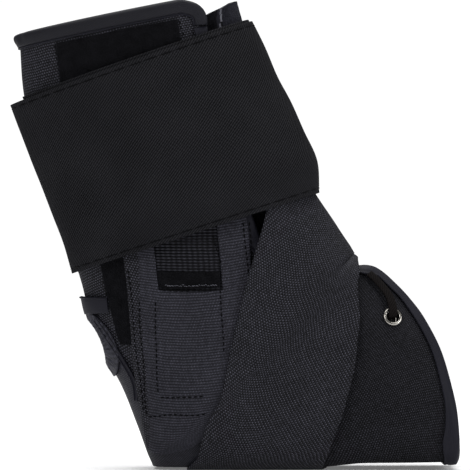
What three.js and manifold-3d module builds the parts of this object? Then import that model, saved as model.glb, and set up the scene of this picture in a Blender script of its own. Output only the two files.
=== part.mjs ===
// Ankle stabilizer: two padded nylon quarters joined at the back and the sole, bound with tape,
// held by two straps that cross over the instep and by a wide elastic cuff round the shaft.
// Millimetres, +X from heel to toe, +Z up, and the near side of the brace at -Y.
// Outline tables hold shares: x of LENGTH from the heel end, z of HEIGHT from the ground.
import * as THREE from "three";
import Module from "manifold-3d";
import { mergeVertices } from "three/addons/utils/BufferGeometryUtils.js";

// Driving sizes
const LENGTH = 250;
const HEIGHT = 261;
const BOOT_WIDTH = 68;
const CUFF_ROOM = 7;
const CUFF_WIDTH = BOOT_WIDTH + 2 * CUFF_ROOM;

const QUARTER_WALL = 2.4;
const LOOP_PILE = 1.1;
const RIBBED_TAPE = 1.1;
const PANEL_CLOTH = 0.9;
const STRAP_CLOTH = 1.1;
const ELASTIC = 1.3;
const TONGUE_PAD = 4;
const TAPE = 0.8;
const EDGE_TAPE_WIDTH = 6.2;
const HEEL_TAPE_WIDTH = 9;
const COLLAR_WIDTH = 5.5;
const COLLAR_SWELL = 2.2;
const EYELET_OUTER = 10.5;
const EYELET_INNER = 6.7;
const EYELET_RIM = 0.9;
const EYELET_BARREL_WALL = 0.55;
const LACE_WIDTH = 5;
const LACE_THICKNESS = 1.2;
const HEEL_SLOT_WIDTH = 24;

// Clearances between touching pieces
const SKIN_GAP = 0.3;
const LAYER_GAP = 0.4;
const SEWN_GAP = 0.8;
const STRAP_GAP = 1.3;
const LACE_ROOM = 0.25;
const TURN_GAP = 0.3;
const EYELET_SEAT = 0.5;
const SEAM_GAP = 0.3;
const EDGE_GAP = 1.1;
const INNER_GAP = 1.1;

// Heights of the layers over the outer face of the quarters
const LOOP_LEVEL = [SKIN_GAP, SKIN_GAP + LOOP_PILE];
const RIBBED_LEVEL = [SKIN_GAP, SKIN_GAP + RIBBED_TAPE];
const PANEL_BASE = RIBBED_LEVEL[1] + SKIN_GAP;
const PANEL_LEVEL = [PANEL_BASE, PANEL_BASE + PANEL_CLOTH];
const STRAP_BASE = PANEL_LEVEL[1] + LAYER_GAP + SKIN_GAP;
const LOW_CROSSING = STRAP_BASE + LACE_ROOM;
const HIGH_CROSSING = LOW_CROSSING + STRAP_CLOTH + STRAP_GAP;
const EDGE_TAPE_LEVEL = [SEWN_GAP, SEWN_GAP + TAPE];
const TAB_BASE = EDGE_TAPE_LEVEL[1] + SKIN_GAP;
const LACE_LEVEL = EDGE_TAPE_LEVEL[1] + SKIN_GAP + LACE_THICKNESS / 2;
const TONGUE_TUCKED = -(QUARTER_WALL + INNER_GAP + COLLAR_SWELL + STRAP_GAP);
const SOLE_LEVEL = STRAP_CLOTH + LAYER_GAP;
const CUFF_TURN = ELASTIC + TURN_GAP;

// Sections of the boot, top to toe: front and back point of each in the side view, width as a
// share of BOOT_WIDTH, and how square the front and the back of the section are.
const BOOT_SECTIONS = [
  { frontX: 0.503, frontZ: 1.015, backX: 0.020, backZ: 0.922, width: 0.91, front: 2.3, back: 2.0 },
  { frontX: 0.530, frontZ: 0.918, backX: 0.031, backZ: 0.794, width: 0.91, front: 2.4, back: 2.0 },
  { frontX: 0.568, frontZ: 0.815, backX: 0.069, backZ: 0.661, width: 0.91, front: 2.5, back: 2.0 },
  { frontX: 0.602, frontZ: 0.715, backX: 0.106, backZ: 0.539, width: 0.91, front: 2.6, back: 2.0 },
  { frontX: 0.637, frontZ: 0.613, backX: 0.155, backZ: 0.410, width: 0.93, front: 2.6, back: 2.0 },
  { frontX: 0.705, frontZ: 0.509, backX: 0.191, backZ: 0.279, width: 0.94, front: 2.6, back: 2.1 },
  { frontX: 0.735, frontZ: 0.466, backX: 0.248, backZ: 0.178, width: 0.97, front: 2.6, back: 2.3 },
  { frontX: 0.754, frontZ: 0.440, backX: 0.285, backZ: 0.090, width: 1.00, front: 2.5, back: 2.6 },
  { frontX: 0.783, frontZ: 0.438, backX: 0.313, backZ: 0.019, width: 1.00, front: 2.5, back: 3.0 },
  { frontX: 0.808, frontZ: 0.440, backX: 0.336, backZ: -0.004, width: 1.00, front: 2.4, back: 3.4 },
  { frontX: 0.826, frontZ: 0.427, backX: 0.423, backZ: -0.004, width: 1.00, front: 2.5, back: 3.8 },
  { frontX: 0.857, frontZ: 0.403, backX: 0.546, backZ: -0.002, width: 1.00, front: 2.5, back: 4.0 },
  { frontX: 0.890, frontZ: 0.371, backX: 0.691, backZ: 0.002, width: 1.00, front: 2.5, back: 4.0 },
  { frontX: 0.926, frontZ: 0.335, backX: 0.808, backZ: 0.004, width: 1.00, front: 2.4, back: 4.0 },
  { frontX: 0.966, frontZ: 0.270, backX: 0.897, backZ: 0.004, width: 0.99, front: 2.4, back: 3.8 },
  { frontX: 0.993, frontZ: 0.193, backX: 0.956, backZ: 0.004, width: 0.97, front: 2.3, back: 3.2 },
  { frontX: 1.007, frontZ: 0.107, backX: 0.988, backZ: 0.004, width: 0.95, front: 2.2, back: 2.6 },
];

// Rise of the sole over SOLE_LEVEL towards the toe
const SOLE_LINE = [
  { x: 0.000, rise: 0.000 },
  { x: 0.700, rise: 0.000 },
  { x: 0.780, rise: 0.009 },
  { x: 1.000, rise: 0.012 },
];

// Outer face of the elastic cuff, top to bottom; width as a share of CUFF_WIDTH
const CUFF_SECTIONS = [
  { frontX: 0.541, frontZ: 0.958, backX: -0.003, backZ: 0.777, width: 0.90, front: 2.3, back: 1.9 },
  { frontX: 0.571, frontZ: 0.899, backX: 0.020, backZ: 0.718, width: 0.92, front: 2.4, back: 1.9 },
  { frontX: 0.598, frontZ: 0.838, backX: 0.044, backZ: 0.658, width: 0.95, front: 2.5, back: 1.9 },
  { frontX: 0.629, frontZ: 0.782, backX: 0.069, backZ: 0.598, width: 0.97, front: 2.6, back: 1.9 },
  { frontX: 0.657, frontZ: 0.722, backX: 0.093, backZ: 0.538, width: 0.99, front: 2.6, back: 2.0 },
  { frontX: 0.686, frontZ: 0.660, backX: 0.117, backZ: 0.478, width: 1.00, front: 2.6, back: 2.0 },
  { frontX: 0.691, frontZ: 0.591, backX: 0.135, backZ: 0.417, width: 1.00, front: 2.6, back: 2.0 },
];

// Front edge of a quarter, from the top seam round the corner and down to the toe
const FRONT_EDGE = [
  { x: 0.385, z: 0.985 },
  { x: 0.414, z: 0.984 },
  { x: 0.430, z: 0.968 },
  { x: 0.435, z: 0.940 },
  { x: 0.454, z: 0.863 },
  { x: 0.485, z: 0.747 },
  { x: 0.512, z: 0.639 },
  { x: 0.539, z: 0.528 },
  { x: 0.575, z: 0.459 },
  { x: 0.647, z: 0.425 },
  { x: 0.714, z: 0.423 },
  { x: 0.763, z: 0.427 },
  { x: 0.794, z: 0.430 },
  { x: 0.823, z: 0.421 },
  { x: 0.852, z: 0.397 },
  { x: 0.890, z: 0.358 },
  { x: 0.944, z: 0.275 },
  { x: 0.975, z: 0.184 },
];
// The same edge as it rounds the corner of the toe opening: section row and share of half the girth
const TOE_CORNER = [
  { u: 15.30, v: 0.390 },
  { u: 15.72, v: 0.480 },
  { u: 15.93, v: 0.600 },
  { u: 16.00, v: 0.740 },
];
const COLLAR_ENDS_AT = 0.945;

// Loop pile field: back edge and front edge, top to bottom
const LOOP_FIELD = [
  { backX: 0.105, backZ: 0.897, frontX: 0.374, frontZ: 0.949 },
  { backX: 0.119, backZ: 0.811, frontX: 0.400, frontZ: 0.843 },
  { backX: 0.154, backZ: 0.682, frontX: 0.385, frontZ: 0.727 },
  { backX: 0.178, backZ: 0.576, frontX: 0.320, frontZ: 0.610 },
  { backX: 0.197, backZ: 0.479, frontX: 0.290, frontZ: 0.500 },
  { backX: 0.208, backZ: 0.421, frontX: 0.286, frontZ: 0.436 },
  { backX: 0.227, backZ: 0.343, frontX: 0.288, frontZ: 0.354 },
  { backX: 0.249, backZ: 0.268, frontX: 0.284, frontZ: 0.268 },
];

// Side panel: back hem and front edge, top to bottom, with the window between two rows
const SIDE_PANEL = [
  { backX: 0.242, frontX: 0.519, z: 0.564 },
  { backX: 0.246, frontX: 0.528, z: 0.528 },
  { backX: 0.256, frontX: 0.535, z: 0.468 },
  { backX: 0.266, frontX: 0.539, z: 0.393 },
  { backX: 0.275, frontX: 0.539, z: 0.296 },
  { backX: 0.284, frontX: 0.535, z: 0.206 },
  { backX: 0.300, frontX: 0.500, z: 0.120 },
  { backX: 0.314, frontX: 0.405, z: 0.050 },
];
const WINDOW_ROWS = [1, 3];
const WINDOW_SPAN = [0.26, 0.77];

// Ribbed tape of the stay, seen in the window
const STAY_TAPE = [
  { backX: 0.311, frontX: 0.490, z: 0.548 },
  { backX: 0.313, frontX: 0.494, z: 0.468 },
  { backX: 0.318, frontX: 0.497, z: 0.361 },
];

// Crossing strap: rear and fore edge from the sole up. Each point lies under the sole, on the strap's
// own side, on the ridge of the instep or on the other side. lift is 0 on the quarter, 1 at the level
// that clears the side panel, and 2 at the level of the crossing.
const STRAP_ROUTE = [
  { rearX: 0.394, rearZ: 0, rear: "sole", foreX: 0.696, foreZ: 0, fore: "sole", lift: 0 },
  { rearX: 0.396, rearZ: 0.004, rear: "own", foreX: 0.696, foreZ: 0.006, fore: "own", lift: 0 },
  { rearX: 0.402, rearZ: 0.014, rear: "own", foreX: 0.702, foreZ: 0.026, fore: "own", lift: 0.3 },
  { rearX: 0.423, rearZ: 0.043, rear: "own", foreX: 0.716, foreZ: 0.062, fore: "own", lift: 0.75 },
  { rearX: 0.456, rearZ: 0.124, rear: "own", foreX: 0.747, foreZ: 0.146, fore: "own", lift: 1 },
  { rearX: 0.479, rearZ: 0.189, rear: "own", foreX: 0.770, foreZ: 0.253, fore: "own", lift: 1 },
  { rearX: 0.512, rearZ: 0.339, rear: "own", foreX: 0.773, foreZ: 0.360, fore: "own", lift: 1 },
  { rearX: 0.539, rearZ: 0.442, rear: "own", foreX: 0.752, foreZ: 0.441, fore: "ridge", lift: 2 },
  { rearX: 0.564, rearZ: 0.541, rear: "own", foreX: 0.694, foreZ: 0.487, fore: "other", lift: 2 },
  { rearX: 0.582, rearZ: 0.640, rear: "own", foreX: 0.612, foreZ: 0.532, fore: "other", lift: 2 },
  { rearX: 0.600, rearZ: 0.742, rear: "ridge", foreX: 0.528, foreZ: 0.575, fore: "other", lift: 2 },
  { rearX: 0.570, rearZ: 0.790, rear: "other", foreX: 0.456, foreZ: 0.609, fore: "other", lift: 1.6 },
  { rearX: 0.510, rearZ: 0.822, rear: "other", foreX: 0.405, foreZ: 0.635, fore: "other", lift: 1.2 },
];

// Facet rows to each row of the strap route, from that row on: closer where the straps cross
const STRAP_FACETS = [
  { from: 0, rows: 2 },
  { from: 5, rows: 1 },
  { from: 6, rows: 3 },
  { from: 11, rows: 2 },
];

// Tongue, top to bottom: half width as a share of half the girth, and rise of its middle over the
// quarters as a share of TONGUE_PAD
const TONGUE = [
  { row: 0.15, half: 0.05, crown: 0.075 },
  { row: 0.22, half: 0.11, crown: 0.075 },
  { row: 0.35, half: 0.20, crown: 0.075 },
  { row: 0.60, half: 0.22, crown: 0.125 },
  { row: 1.20, half: 0.23, crown: 0.200 },
  { row: 2.20, half: 0.24, crown: 0.300 },
  { row: 3.20, half: 0.27, crown: 0.300 },
  { row: 4.20, half: 0.31, crown: 0.300 },
  { row: 5.00, half: 0.32, crown: 0.150 },
  { row: 6.00, half: 0.28, crown: -0.750 },
  { row: 7.00, half: 0.22, crown: -1.250 },
  { row: 8.00, half: 0.17, crown: -1.250 },
  { row: 9.00, half: 0.14, crown: -1.250 },
  { row: 10.0, half: 0.11, crown: -1.250 },
];

// Tab sewn over the back seam above the heel opening
const BACK_TAB = [
  { topX: 0.215, topZ: 0.368, lowX: 0.219, lowZ: 0.336, side: -1 },
  { topX: 0.190, topZ: 0.369, lowX: 0.197, lowZ: 0.334, side: -1 },
  { topX: 0.166, topZ: 0.371, lowX: 0.176, lowZ: 0.333, side: -1 },
  { topX: 0.190, topZ: 0.369, lowX: 0.197, lowZ: 0.334, side: 1 },
  { topX: 0.215, topZ: 0.368, lowX: 0.219, lowZ: 0.336, side: 1 },
];

// Where the tongue tucks under the quarters: share of half the girth inside their edge, and least
const TONGUE_TUCK = 0.035;
const TONGUE_LEAST = 0.04;

// Heel opening, as section rows of the boot, top and bottom
const HEEL_SLOT_ROWS = [4.66, 5.50];

// Eyelet, and the lace outside the quarter from under the strap down to the eyelet, with its rise in
// thicknesses of the lace
const EYELET_AT = { x: 0.851, z: 0.326 };
const LACE_ROUTE = [
  { x: 0.797, z: 0.413, rise: 0 },
  { x: 0.810, z: 0.402, rise: 0 },
  { x: 0.827, z: 0.384, rise: 0 },
  { x: 0.840, z: 0.366, rise: 0.25 },
  { x: 0.846, z: 0.350, rise: 0.4 },
];

// Lace turning into the eyelet: distance from the eyelet's axis in widths of the lace, and height
// over the quarter in its thicknesses, then the turn behind the quarter towards the other eyelet
const LACE_BEND = [
  { away: 0.52, rise: 2.25 },
  { away: 0.18, rise: 1.75 },
  { away: 0.02, rise: 0.5 },
  { away: 0.00, rise: -1.35 },
  { away: 0.00, rise: -4.3 },
];
const LACE_TURN = { deeper: 2.5, inward: 1.7 };
const LACE_CORNER = 0.6;

// Cuff: girth shares where the wound elastic starts and ends, how many section rows its inner turn
// stands over the outer one, and how many turns from the end it rises and takes to rise
const CUFF_START = -0.9;
const CUFF_END = 2.6;
const INNER_TURN_RISE = 0.1;
const RISE_FROM_TURN = 0.8;
const RISE_OVER_TURNS = 0.05;

// Fullness of the collar's roll at its shoulders
const COLLAR_SHOULDER = 0.8;

// Share of the height, under the ground line, from which the middle of the sole is found
const UNDER_SOLE = -0.02;

// Facets
const ARC_SAMPLES = 160;
const CUFF_STEPS_PER_TURN = 32;
const CUFF_ROWS_ACROSS = 3;
const QUARTER_COLUMNS = 9;
const STRAP_COLUMNS = 9;
const TONGUE_COLUMNS = 8;
const COLLAR_STEPS = 13;
const COLLAR_STEP = 5;
const TOE_TAPE_STEPS = 5;
const HEEL_TAPE_STEPS = 22;
const EDGE_STEP = 2;
const EDGE_STEPS_BELOW = [
  { belowZ: 0.16, every: 2 },
  { belowZ: 0.43, every: 4 },
  { belowZ: 1.00, every: 8 },
];
const QUARTER_ROWS_ABOVE = [0, 0.12, 0.3, 0.6, 1.1, 1.9, 2.7, 3.4, 4.1];
const SLOT_SHARES = [0, 0.08, 0.25, 0.5, 0.75, 0.92, 1];
const QUARTER_ROWS_BELOW = [
  6, 6.6, 7.2, 7.8, 8.4, 9, 9.8, 10.6, 11.4, 12.2, 13, 13.8, 14.6, 15.1, 15.5, 15.75, 15.92, 15.98, 16,
];

const mix = (a, b, t) => a + (b - a) * t;
const clamp = (value, low, high) => Math.min(Math.max(value, low), high);
const wasm = await Module();
wasm.setup();

// Value of one column of a table at a row number that need not be whole, on a smooth curve.
function columnAt(rows, name, at) {
  const last = rows.length - 1;
  const i = clamp(Math.floor(at), 0, last - 1);
  const start = rows[i][name];
  const end = rows[i + 1][name];
  const before = i > 0 ? rows[i - 1][name] : 2 * start - end;
  const after = i + 2 <= last ? rows[i + 2][name] : 2 * end - start;
  const slopeIn = (end - before) / 2;
  const slopeOut = (after - start) / 2;
  const t = at - i;
  if (t < 0) return start + slopeIn * t;
  if (t > 1) return end + slopeOut * (t - 1);
  const t2 = t * t;
  const t3 = t2 * t;
  return (2 * t3 - 3 * t2 + 1) * start + (t3 - 2 * t2 + t) * slopeIn
    + (3 * t2 - 2 * t3) * end + (t3 - t2) * slopeOut;
}

// Straight interpolation of one column against another that grows down the table.
function lookup(rows, key, name, at) {
  const last = rows.length - 1;
  if (at <= rows[0][key]) return rows[0][name];
  if (at >= rows[last][key]) return rows[last][name];
  const i = rows.findIndex((row) => row[key] > at) - 1;
  const t = (at - rows[i][key]) / (rows[i + 1][key] - rows[i][key]);
  return mix(rows[i][name], rows[i + 1][name], t);
}

const sideX = (share) => (share - 0.5) * LENGTH;
const sideZ = (share) => share * HEIGHT;

function soleHeight(x) {
  return SOLE_LEVEL + lookup(SOLE_LINE, "x", "rise", x / LENGTH + 0.5) * HEIGHT;
}

// A body lofted through flat sections that hold the Y direction. A place on it is a row number u
// and a share v of half the girth: 0 at the front, 1 at the back, and negative on the near side.
class Loft {
  constructor(rows, width, floor) {
    this.rows = rows;
    this.width = width;
    this.floor = floor;
    this.last = rows.length - 1;
    this.sections = new Map();
  }

  section(u) {
    const known = this.sections.get(u);
    if (known) return known;
    const at = (name) => columnAt(this.rows, name, u);
    const front = new THREE.Vector2(sideX(at("frontX")), sideZ(at("frontZ")));
    const back = new THREE.Vector2(sideX(at("backX")), sideZ(at("backZ")));
    const middle = front.clone().add(back).multiplyScalar(0.5);
    const arm = front.clone().sub(back).multiplyScalar(0.5);
    const half = (at("width") * this.width) / 2;
    const along = [];
    const across = [];
    const lengths = [0];
    const weights = [0];
    let heading = Math.PI / 2;
    for (let i = 0; i <= ARC_SAMPLES; i += 1) {
      const angle = (Math.PI * i) / ARC_SAMPLES;
      const cos = Math.cos(angle);
      const power = 2 / (cos > 0 ? at("front") : at("back"));
      along.push(Math.sign(cos) * Math.abs(cos) ** power);
      across.push(Math.max(Math.sin(angle), 0) ** power);
      if (i === 0) continue;
      const stepAlong = (along[i - 1] - along[i]) * arm.length();
      const stepAcross = (across[i] - across[i - 1]) * half;
      const step = Math.hypot(stepAlong, stepAcross);
      const turned = Math.atan2(stepAcross, stepAlong);
      lengths.push(lengths[i - 1] + step);
      weights.push(weights[i - 1] + step / (arm.length() + half) + Math.abs(heading - turned));
      heading = turned;
    }
    const made = { front, back, middle, arm, half, along, across, lengths, weights };
    made.girth = lengths[ARC_SAMPLES];
    this.sections.set(u, made);
    return made;
  }

  // Sample position, a whole number and a part, where a rising list reaches a value.
  sampleAt(list, value) {
    let low = 0;
    let high = ARC_SAMPLES;
    while (high - low > 1) {
      const half = (low + high) >> 1;
      if (list[half] > value) high = half;
      else low = half;
    }
    const span = list[high] - list[low] || 1;
    return low + clamp((value - list[low]) / span, 0, 1);
  }

  point(u, v) {
    let wrapped = v;
    while (wrapped > 1) wrapped -= 2;
    while (wrapped < -1) wrapped += 2;
    const section = this.section(u);
    const sample = this.sampleAt(section.lengths, Math.abs(wrapped) * section.girth);
    const i = Math.min(Math.floor(sample), ARC_SAMPLES - 1);
    const along = mix(section.along[i], section.along[i + 1], sample - i);
    const across = mix(section.across[i], section.across[i + 1], sample - i);
    return new THREE.Vector3(
      section.middle.x + along * section.arm.x,
      Math.sign(wrapped) * across * section.half,
      section.middle.y + along * section.arm.y,
    );
  }

  // Place, slopes along u and v, and outward normal.
  frame(u, v) {
    const du = 0.03;
    const dv = 0.012;
    const place = this.point(u, v);
    const alongU = this.point(u + du, v).sub(this.point(u - du, v)).divideScalar(2 * du);
    const alongV = this.point(u, v + dv).sub(this.point(u, v - dv)).divideScalar(2 * dv);
    const normal = alongU.clone().cross(alongV).normalize();
    const { middle } = this.section(u);
    const outward = place.clone().sub(new THREE.Vector3(middle.x, 0, middle.y));
    if (normal.dot(outward) < 0) normal.negate();
    return { place, alongU, alongV, normal };
  }

  // Point at a height over the body; cloth that would reach the ground is laid flat on it.
  raised(u, v, height) {
    const { place, normal } = this.frame(u, v);
    return this.settle(place.addScaledVector(normal, height), height);
  }

  settle(point, height) {
    if (this.floor) point.z = Math.max(point.z, this.floor(point.x) - height);
    return point;
  }

  // Row and girth share of the point that is seen at x, z from the side.
  locate(x, z, side) {
    const seen = new THREE.Vector2(sideX(x), sideZ(z));
    const gap = (u) => {
      const { back, arm } = this.section(u);
      return arm.clone().cross(seen.clone().sub(back));
    };
    const scans = 8 * this.last;
    let low = 0;
    let high = this.last;
    for (let i = 0; i < scans; i += 1) {
      const from = (i / scans) * this.last;
      const to = ((i + 1) / scans) * this.last;
      if (gap(from) * gap(to) > 0) continue;
      low = from;
      high = to;
      break;
    }
    const rising = gap(high) > gap(low);
    for (let i = 0; i < 30; i += 1) {
      const half = (low + high) / 2;
      if (gap(half) > 0 === rising) high = half;
      else low = half;
    }
    const u = (low + high) / 2;
    const section = this.section(u);
    const share = seen.clone().sub(section.middle).dot(section.arm) / section.arm.lengthSq();
    const falling = section.along.map((value) => -value);
    const sample = this.sampleAt(falling, -clamp(share, -1, 1));
    const i = Math.min(Math.floor(sample), ARC_SAMPLES - 1);
    const length = mix(section.lengths[i], section.lengths[i + 1], sample - i);
    return { u, v: (side * length) / section.girth };
  }

  // Girth share at an equal division between two others, closer together where the cloth turns.
  spread(u, from, to, t) {
    const { lengths, weights, girth } = this.section(u);
    const weightAt = (v) => {
      const sample = this.sampleAt(lengths, Math.abs(v) * girth);
      const i = Math.min(Math.floor(sample), ARC_SAMPLES - 1);
      return mix(weights[i], weights[i + 1], sample - i);
    };
    const sample = this.sampleAt(weights, mix(weightAt(from), weightAt(to), t));
    const i = Math.min(Math.floor(sample), ARC_SAMPLES - 1);
    return mix(lengths[i], lengths[i + 1], sample - i) / girth;
  }
}

const boot = new Loft(BOOT_SECTIONS, BOOT_WIDTH, soleHeight);
const cuffBody = new Loft(CUFF_SECTIONS, CUFF_WIDTH, null);

// Solid from vertices and faces, turned so that its faces point out.
function solidOf(points, faces) {
  const position = new Float32Array(points.flatMap((p) => [p.x, p.y, p.z]));
  let volume = 0;
  for (const [a, b, c] of faces) {
    volume += points[a].dot(points[b].clone().cross(points[c]));
  }
  const index = faces.flatMap(([a, b, c]) => (volume < 0 ? [a, c, b] : [a, b, c]));
  const geometry = new THREE.BufferGeometry();
  geometry.setAttribute("position", new THREE.BufferAttribute(position, 3));
  geometry.setIndex(index);
  return geometry;
}

// Sheet of cloth: a grid of places, each with its inner and outer point, with cells left out.
function sheet(rowCount, columnCount, placeAt, isOpen = () => false) {
  const points = [];
  for (let i = 0; i <= rowCount; i += 1) {
    for (let j = 0; j <= columnCount; j += 1) {
      points.push(...placeAt(i, j));
    }
  }
  const at = (i, j, face) => 2 * (i * (columnCount + 1) + j) + face;
  const filled = (i, j) => {
    return i >= 0 && j >= 0 && i < rowCount && j < columnCount && !isOpen(i, j);
  };
  const faces = [];
  const quad = (a, b, c, d) => faces.push([a, b, c], [a, c, d]);
  const wall = (i1, j1, i2, j2) => {
    quad(at(i1, j1, 1), at(i2, j2, 1), at(i2, j2, 0), at(i1, j1, 0));
  };
  for (let i = 0; i < rowCount; i += 1) {
    for (let j = 0; j < columnCount; j += 1) {
      if (!filled(i, j)) continue;
      quad(at(i, j, 1), at(i + 1, j, 1), at(i + 1, j + 1, 1), at(i, j + 1, 1));
      quad(at(i, j, 0), at(i, j + 1, 0), at(i + 1, j + 1, 0), at(i + 1, j, 0));
      if (!filled(i - 1, j)) wall(i, j, i, j + 1);
      if (!filled(i + 1, j)) wall(i + 1, j + 1, i + 1, j);
      if (!filled(i, j - 1)) wall(i + 1, j, i, j);
      if (!filled(i, j + 1)) wall(i, j + 1, i + 1, j + 1);
    }
  }
  return solidOf(points, faces);
}

// Tube of equal rings, closed on itself or capped at both ends.
function ringsToSolid(rings, closed) {
  const count = rings[0].length;
  const faces = [];
  const steps = closed ? rings.length : rings.length - 1;
  for (let i = 0; i < steps; i += 1) {
    const here = i * count;
    const next = ((i + 1) % rings.length) * count;
    for (let j = 0; j < count; j += 1) {
      const k = (j + 1) % count;
      faces.push([here + j, next + j, next + k], [here + j, next + k, here + k]);
    }
  }
  return { points: rings.flat(), faces };
}

// Places of a route in order, with the girth share carried on past the front or back.
function unwrapped(places) {
  const result = [places[0]];
  for (const place of places.slice(1)) {
    const before = result[result.length - 1].v;
    let { v } = place;
    while (v - before > 1) v -= 2;
    while (v - before < -1) v += 2;
    result.push({ u: place.u, v });
  }
  return result;
}

// Smooth route through places, cut into steps of about equal length on the boot.
function evenRoute(places, step, closed = false) {
  const dense = [];
  const last = places.length - 1;
  const finer = 12;
  for (let i = 0; i <= last * finer; i += 1) {
    const at = i / finer;
    dense.push({ u: columnAt(places, "u", at), v: columnAt(places, "v", at) });
  }
  const lengths = [0];
  for (let i = 1; i < dense.length; i += 1) {
    const from = boot.point(dense[i - 1].u, dense[i - 1].v);
    lengths.push(lengths[i - 1] + from.distanceTo(boot.point(dense[i].u, dense[i].v)));
  }
  const total = lengths[lengths.length - 1];
  const count = Math.max(Math.round(total / step), 2);
  const rows = dense.map((place, i) => ({ ...place, length: lengths[i] }));
  const result = [];
  for (let i = 0; i < count + (closed ? 0 : 1); i += 1) {
    const length = (total * i) / count;
    result.push({ u: lookup(rows, "length", "u", length), v: lookup(rows, "length", "v", length) });
  }
  return result;
}

// Tape folded over an edge: a profile of widths into the cloth and heights over it, carried along
// a route. A width below zero stands out past the edge.
function edgeTape(route, profile, inward, closed = false) {
  const rings = route.map((place, i) => {
    const count = route.length;
    const before = route[closed ? (i + count - 1) % count : Math.max(i - 1, 0)];
    const after = route[closed ? (i + 1) % count : Math.min(i + 1, count - 1)];
    const { place: edge, alongU, alongV, normal } = boot.frame(place.u, place.v);
    const run = boot.point(after.u, after.v).sub(boot.point(before.u, before.v));
    const inside = normal.clone().cross(run).normalize().multiplyScalar(inward);
    const uu = alongU.dot(alongU);
    const uv = alongU.dot(alongV);
    const vv = alongV.dot(alongV);
    const onU = alongU.dot(inside);
    const onV = alongV.dot(inside);
    const scale = uu * vv - uv * uv;
    const du = (onU * vv - onV * uv) / scale;
    const dv = (onV * uu - onU * uv) / scale;
    return profile.map(([width, height]) => {
      if (width <= 0) {
        const out = edge.clone().addScaledVector(inside, width).addScaledVector(normal, height);
        return boot.settle(out, height);
      }
      return boot.raised(place.u + du * width, place.v + dv * width, height);
    });
  });
  const { points, faces } = ringsToSolid(rings, closed);
  if (!closed) {
    const outline = profile.map(([width, height]) => new THREE.Vector2(width, height));
    const clockwise = THREE.ShapeUtils.isClockWise(outline);
    const cap = THREE.ShapeUtils.triangulateShape(outline, []);
    const lastRing = (rings.length - 1) * profile.length;
    for (const [a, b, c] of cap) {
      const front = clockwise ? [a, c, b] : [a, b, c];
      faces.push(front);
      faces.push([lastRing + front[2], lastRing + front[1], lastRing + front[0]]);
    }
    fixCaps(points, faces, cap.length * 2);
  }
  return solidOf(points, faces);
}

// Turns the last faces over where they don't agree with the walls they meet.
function fixCaps(points, faces, count) {
  const directed = new Set();
  const walls = faces.slice(0, faces.length - count);
  for (const [a, b, c] of walls) {
    directed.add(a + "," + b);
    directed.add(b + "," + c);
    directed.add(c + "," + a);
  }
  const caps = faces.slice(faces.length - count);
  const clashes = caps.some(([a, b, c]) => {
    return directed.has(a + "," + b) || directed.has(b + "," + c) || directed.has(c + "," + a);
  });
  if (!clashes) return;
  for (const face of caps) {
    face.reverse();
  }
}

function toManifold(geometry) {
  const bare = mergeVertices(geometry.clone().deleteAttribute("normal").deleteAttribute("uv"), 1e-4);
  return new wasm.Manifold(new wasm.Mesh({
    numProp: 3,
    vertProperties: new Float32Array(bare.attributes.position.array),
    triVerts: new Uint32Array(bare.index.array),
  }));
}

function fromManifold(manifold) {
  const mesh = manifold.getMesh();
  const geometry = new THREE.BufferGeometry();
  geometry.setAttribute("position", new THREE.BufferAttribute(mesh.vertProperties, 3));
  geometry.setIndex(new THREE.BufferAttribute(mesh.triVerts, 1));
  return geometry;
}

// Folded tape profile over a wall of the quarter's thickness.
function tapeProfile(width) {
  const [low, high] = EDGE_TAPE_LEVEL;
  const inner = -QUARTER_WALL - INNER_GAP;
  const tip = -EDGE_GAP - TAPE;
  const half = width / 2;
  return [
    [width, low], [width, high], [half, high], [tip, high], [tip, inner - TAPE],
    [width, inner - TAPE], [width, inner], [-EDGE_GAP, inner], [-EDGE_GAP, low], [half, low],
  ];
}

// Padded roll of the collar.
function collarProfile() {
  const low = LAYER_GAP;
  const inner = -QUARTER_WALL - INNER_GAP;
  const half = COLLAR_WIDTH / 2;
  const tip = -EDGE_GAP - TAPE;
  return [
    [COLLAR_WIDTH, low], [COLLAR_WIDTH, low + TAPE], [half, COLLAR_SWELL],
    [-EDGE_GAP, COLLAR_SWELL * COLLAR_SHOULDER], [tip - TAPE, inner / 2],
    [-EDGE_GAP, inner - COLLAR_SWELL * COLLAR_SHOULDER], [half, inner - COLLAR_SWELL],
    [COLLAR_WIDTH, inner - TAPE], [COLLAR_WIDTH, inner], [-EDGE_GAP, inner], [-EDGE_GAP, low],
  ];
}

const frontEdgePlaces = [...FRONT_EDGE.map(({ x, z }) => boot.locate(x, z, 1)), ...TOE_CORNER];
frontEdgePlaces[0].u = 0;
const frontEdgeRows = evenRoute(frontEdgePlaces, EDGE_STEP);

// Share of half the girth where the front edge of a quarter lies in a section.
function frontEdgeShare(u) {
  return lookup(frontEdgeRows, "u", "v", u);
}

// Share of half the girth where a quarter ends at the back: at the seam, or at the heel slot.
function backEdgeShare(u) {
  const { girth } = boot.section(u);
  const [top, bottom] = HEEL_SLOT_ROWS;
  const middle = (top + bottom) / 2;
  const reach = (bottom - top) / 2;
  const inside = 1 - ((u - middle) / reach) ** 2;
  const slot = (HEEL_SLOT_WIDTH / 2) * Math.sqrt(Math.max(inside, 0));
  return 1 - Math.max(slot, SEAM_GAP / 2) / girth;
}

// Rows of a quarter: closer at the top corner and round the heel slot
function quarterRows() {
  const [top, bottom] = HEEL_SLOT_ROWS;
  const slotRows = SLOT_SHARES.map((share) => mix(top, bottom, share));
  return [...QUARTER_ROWS_ABOVE, ...slotRows, ...QUARTER_ROWS_BELOW];
}

function eyeletFrame(side) {
  const place = boot.locate(EYELET_AT.x, EYELET_AT.z, side);
  const { place: centre, normal } = boot.frame(place.u, place.v);
  const turn = new THREE.Quaternion().setFromUnitVectors(new THREE.Vector3(0, 1, 0), normal);
  return { centre, normal, turn };
}

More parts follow.
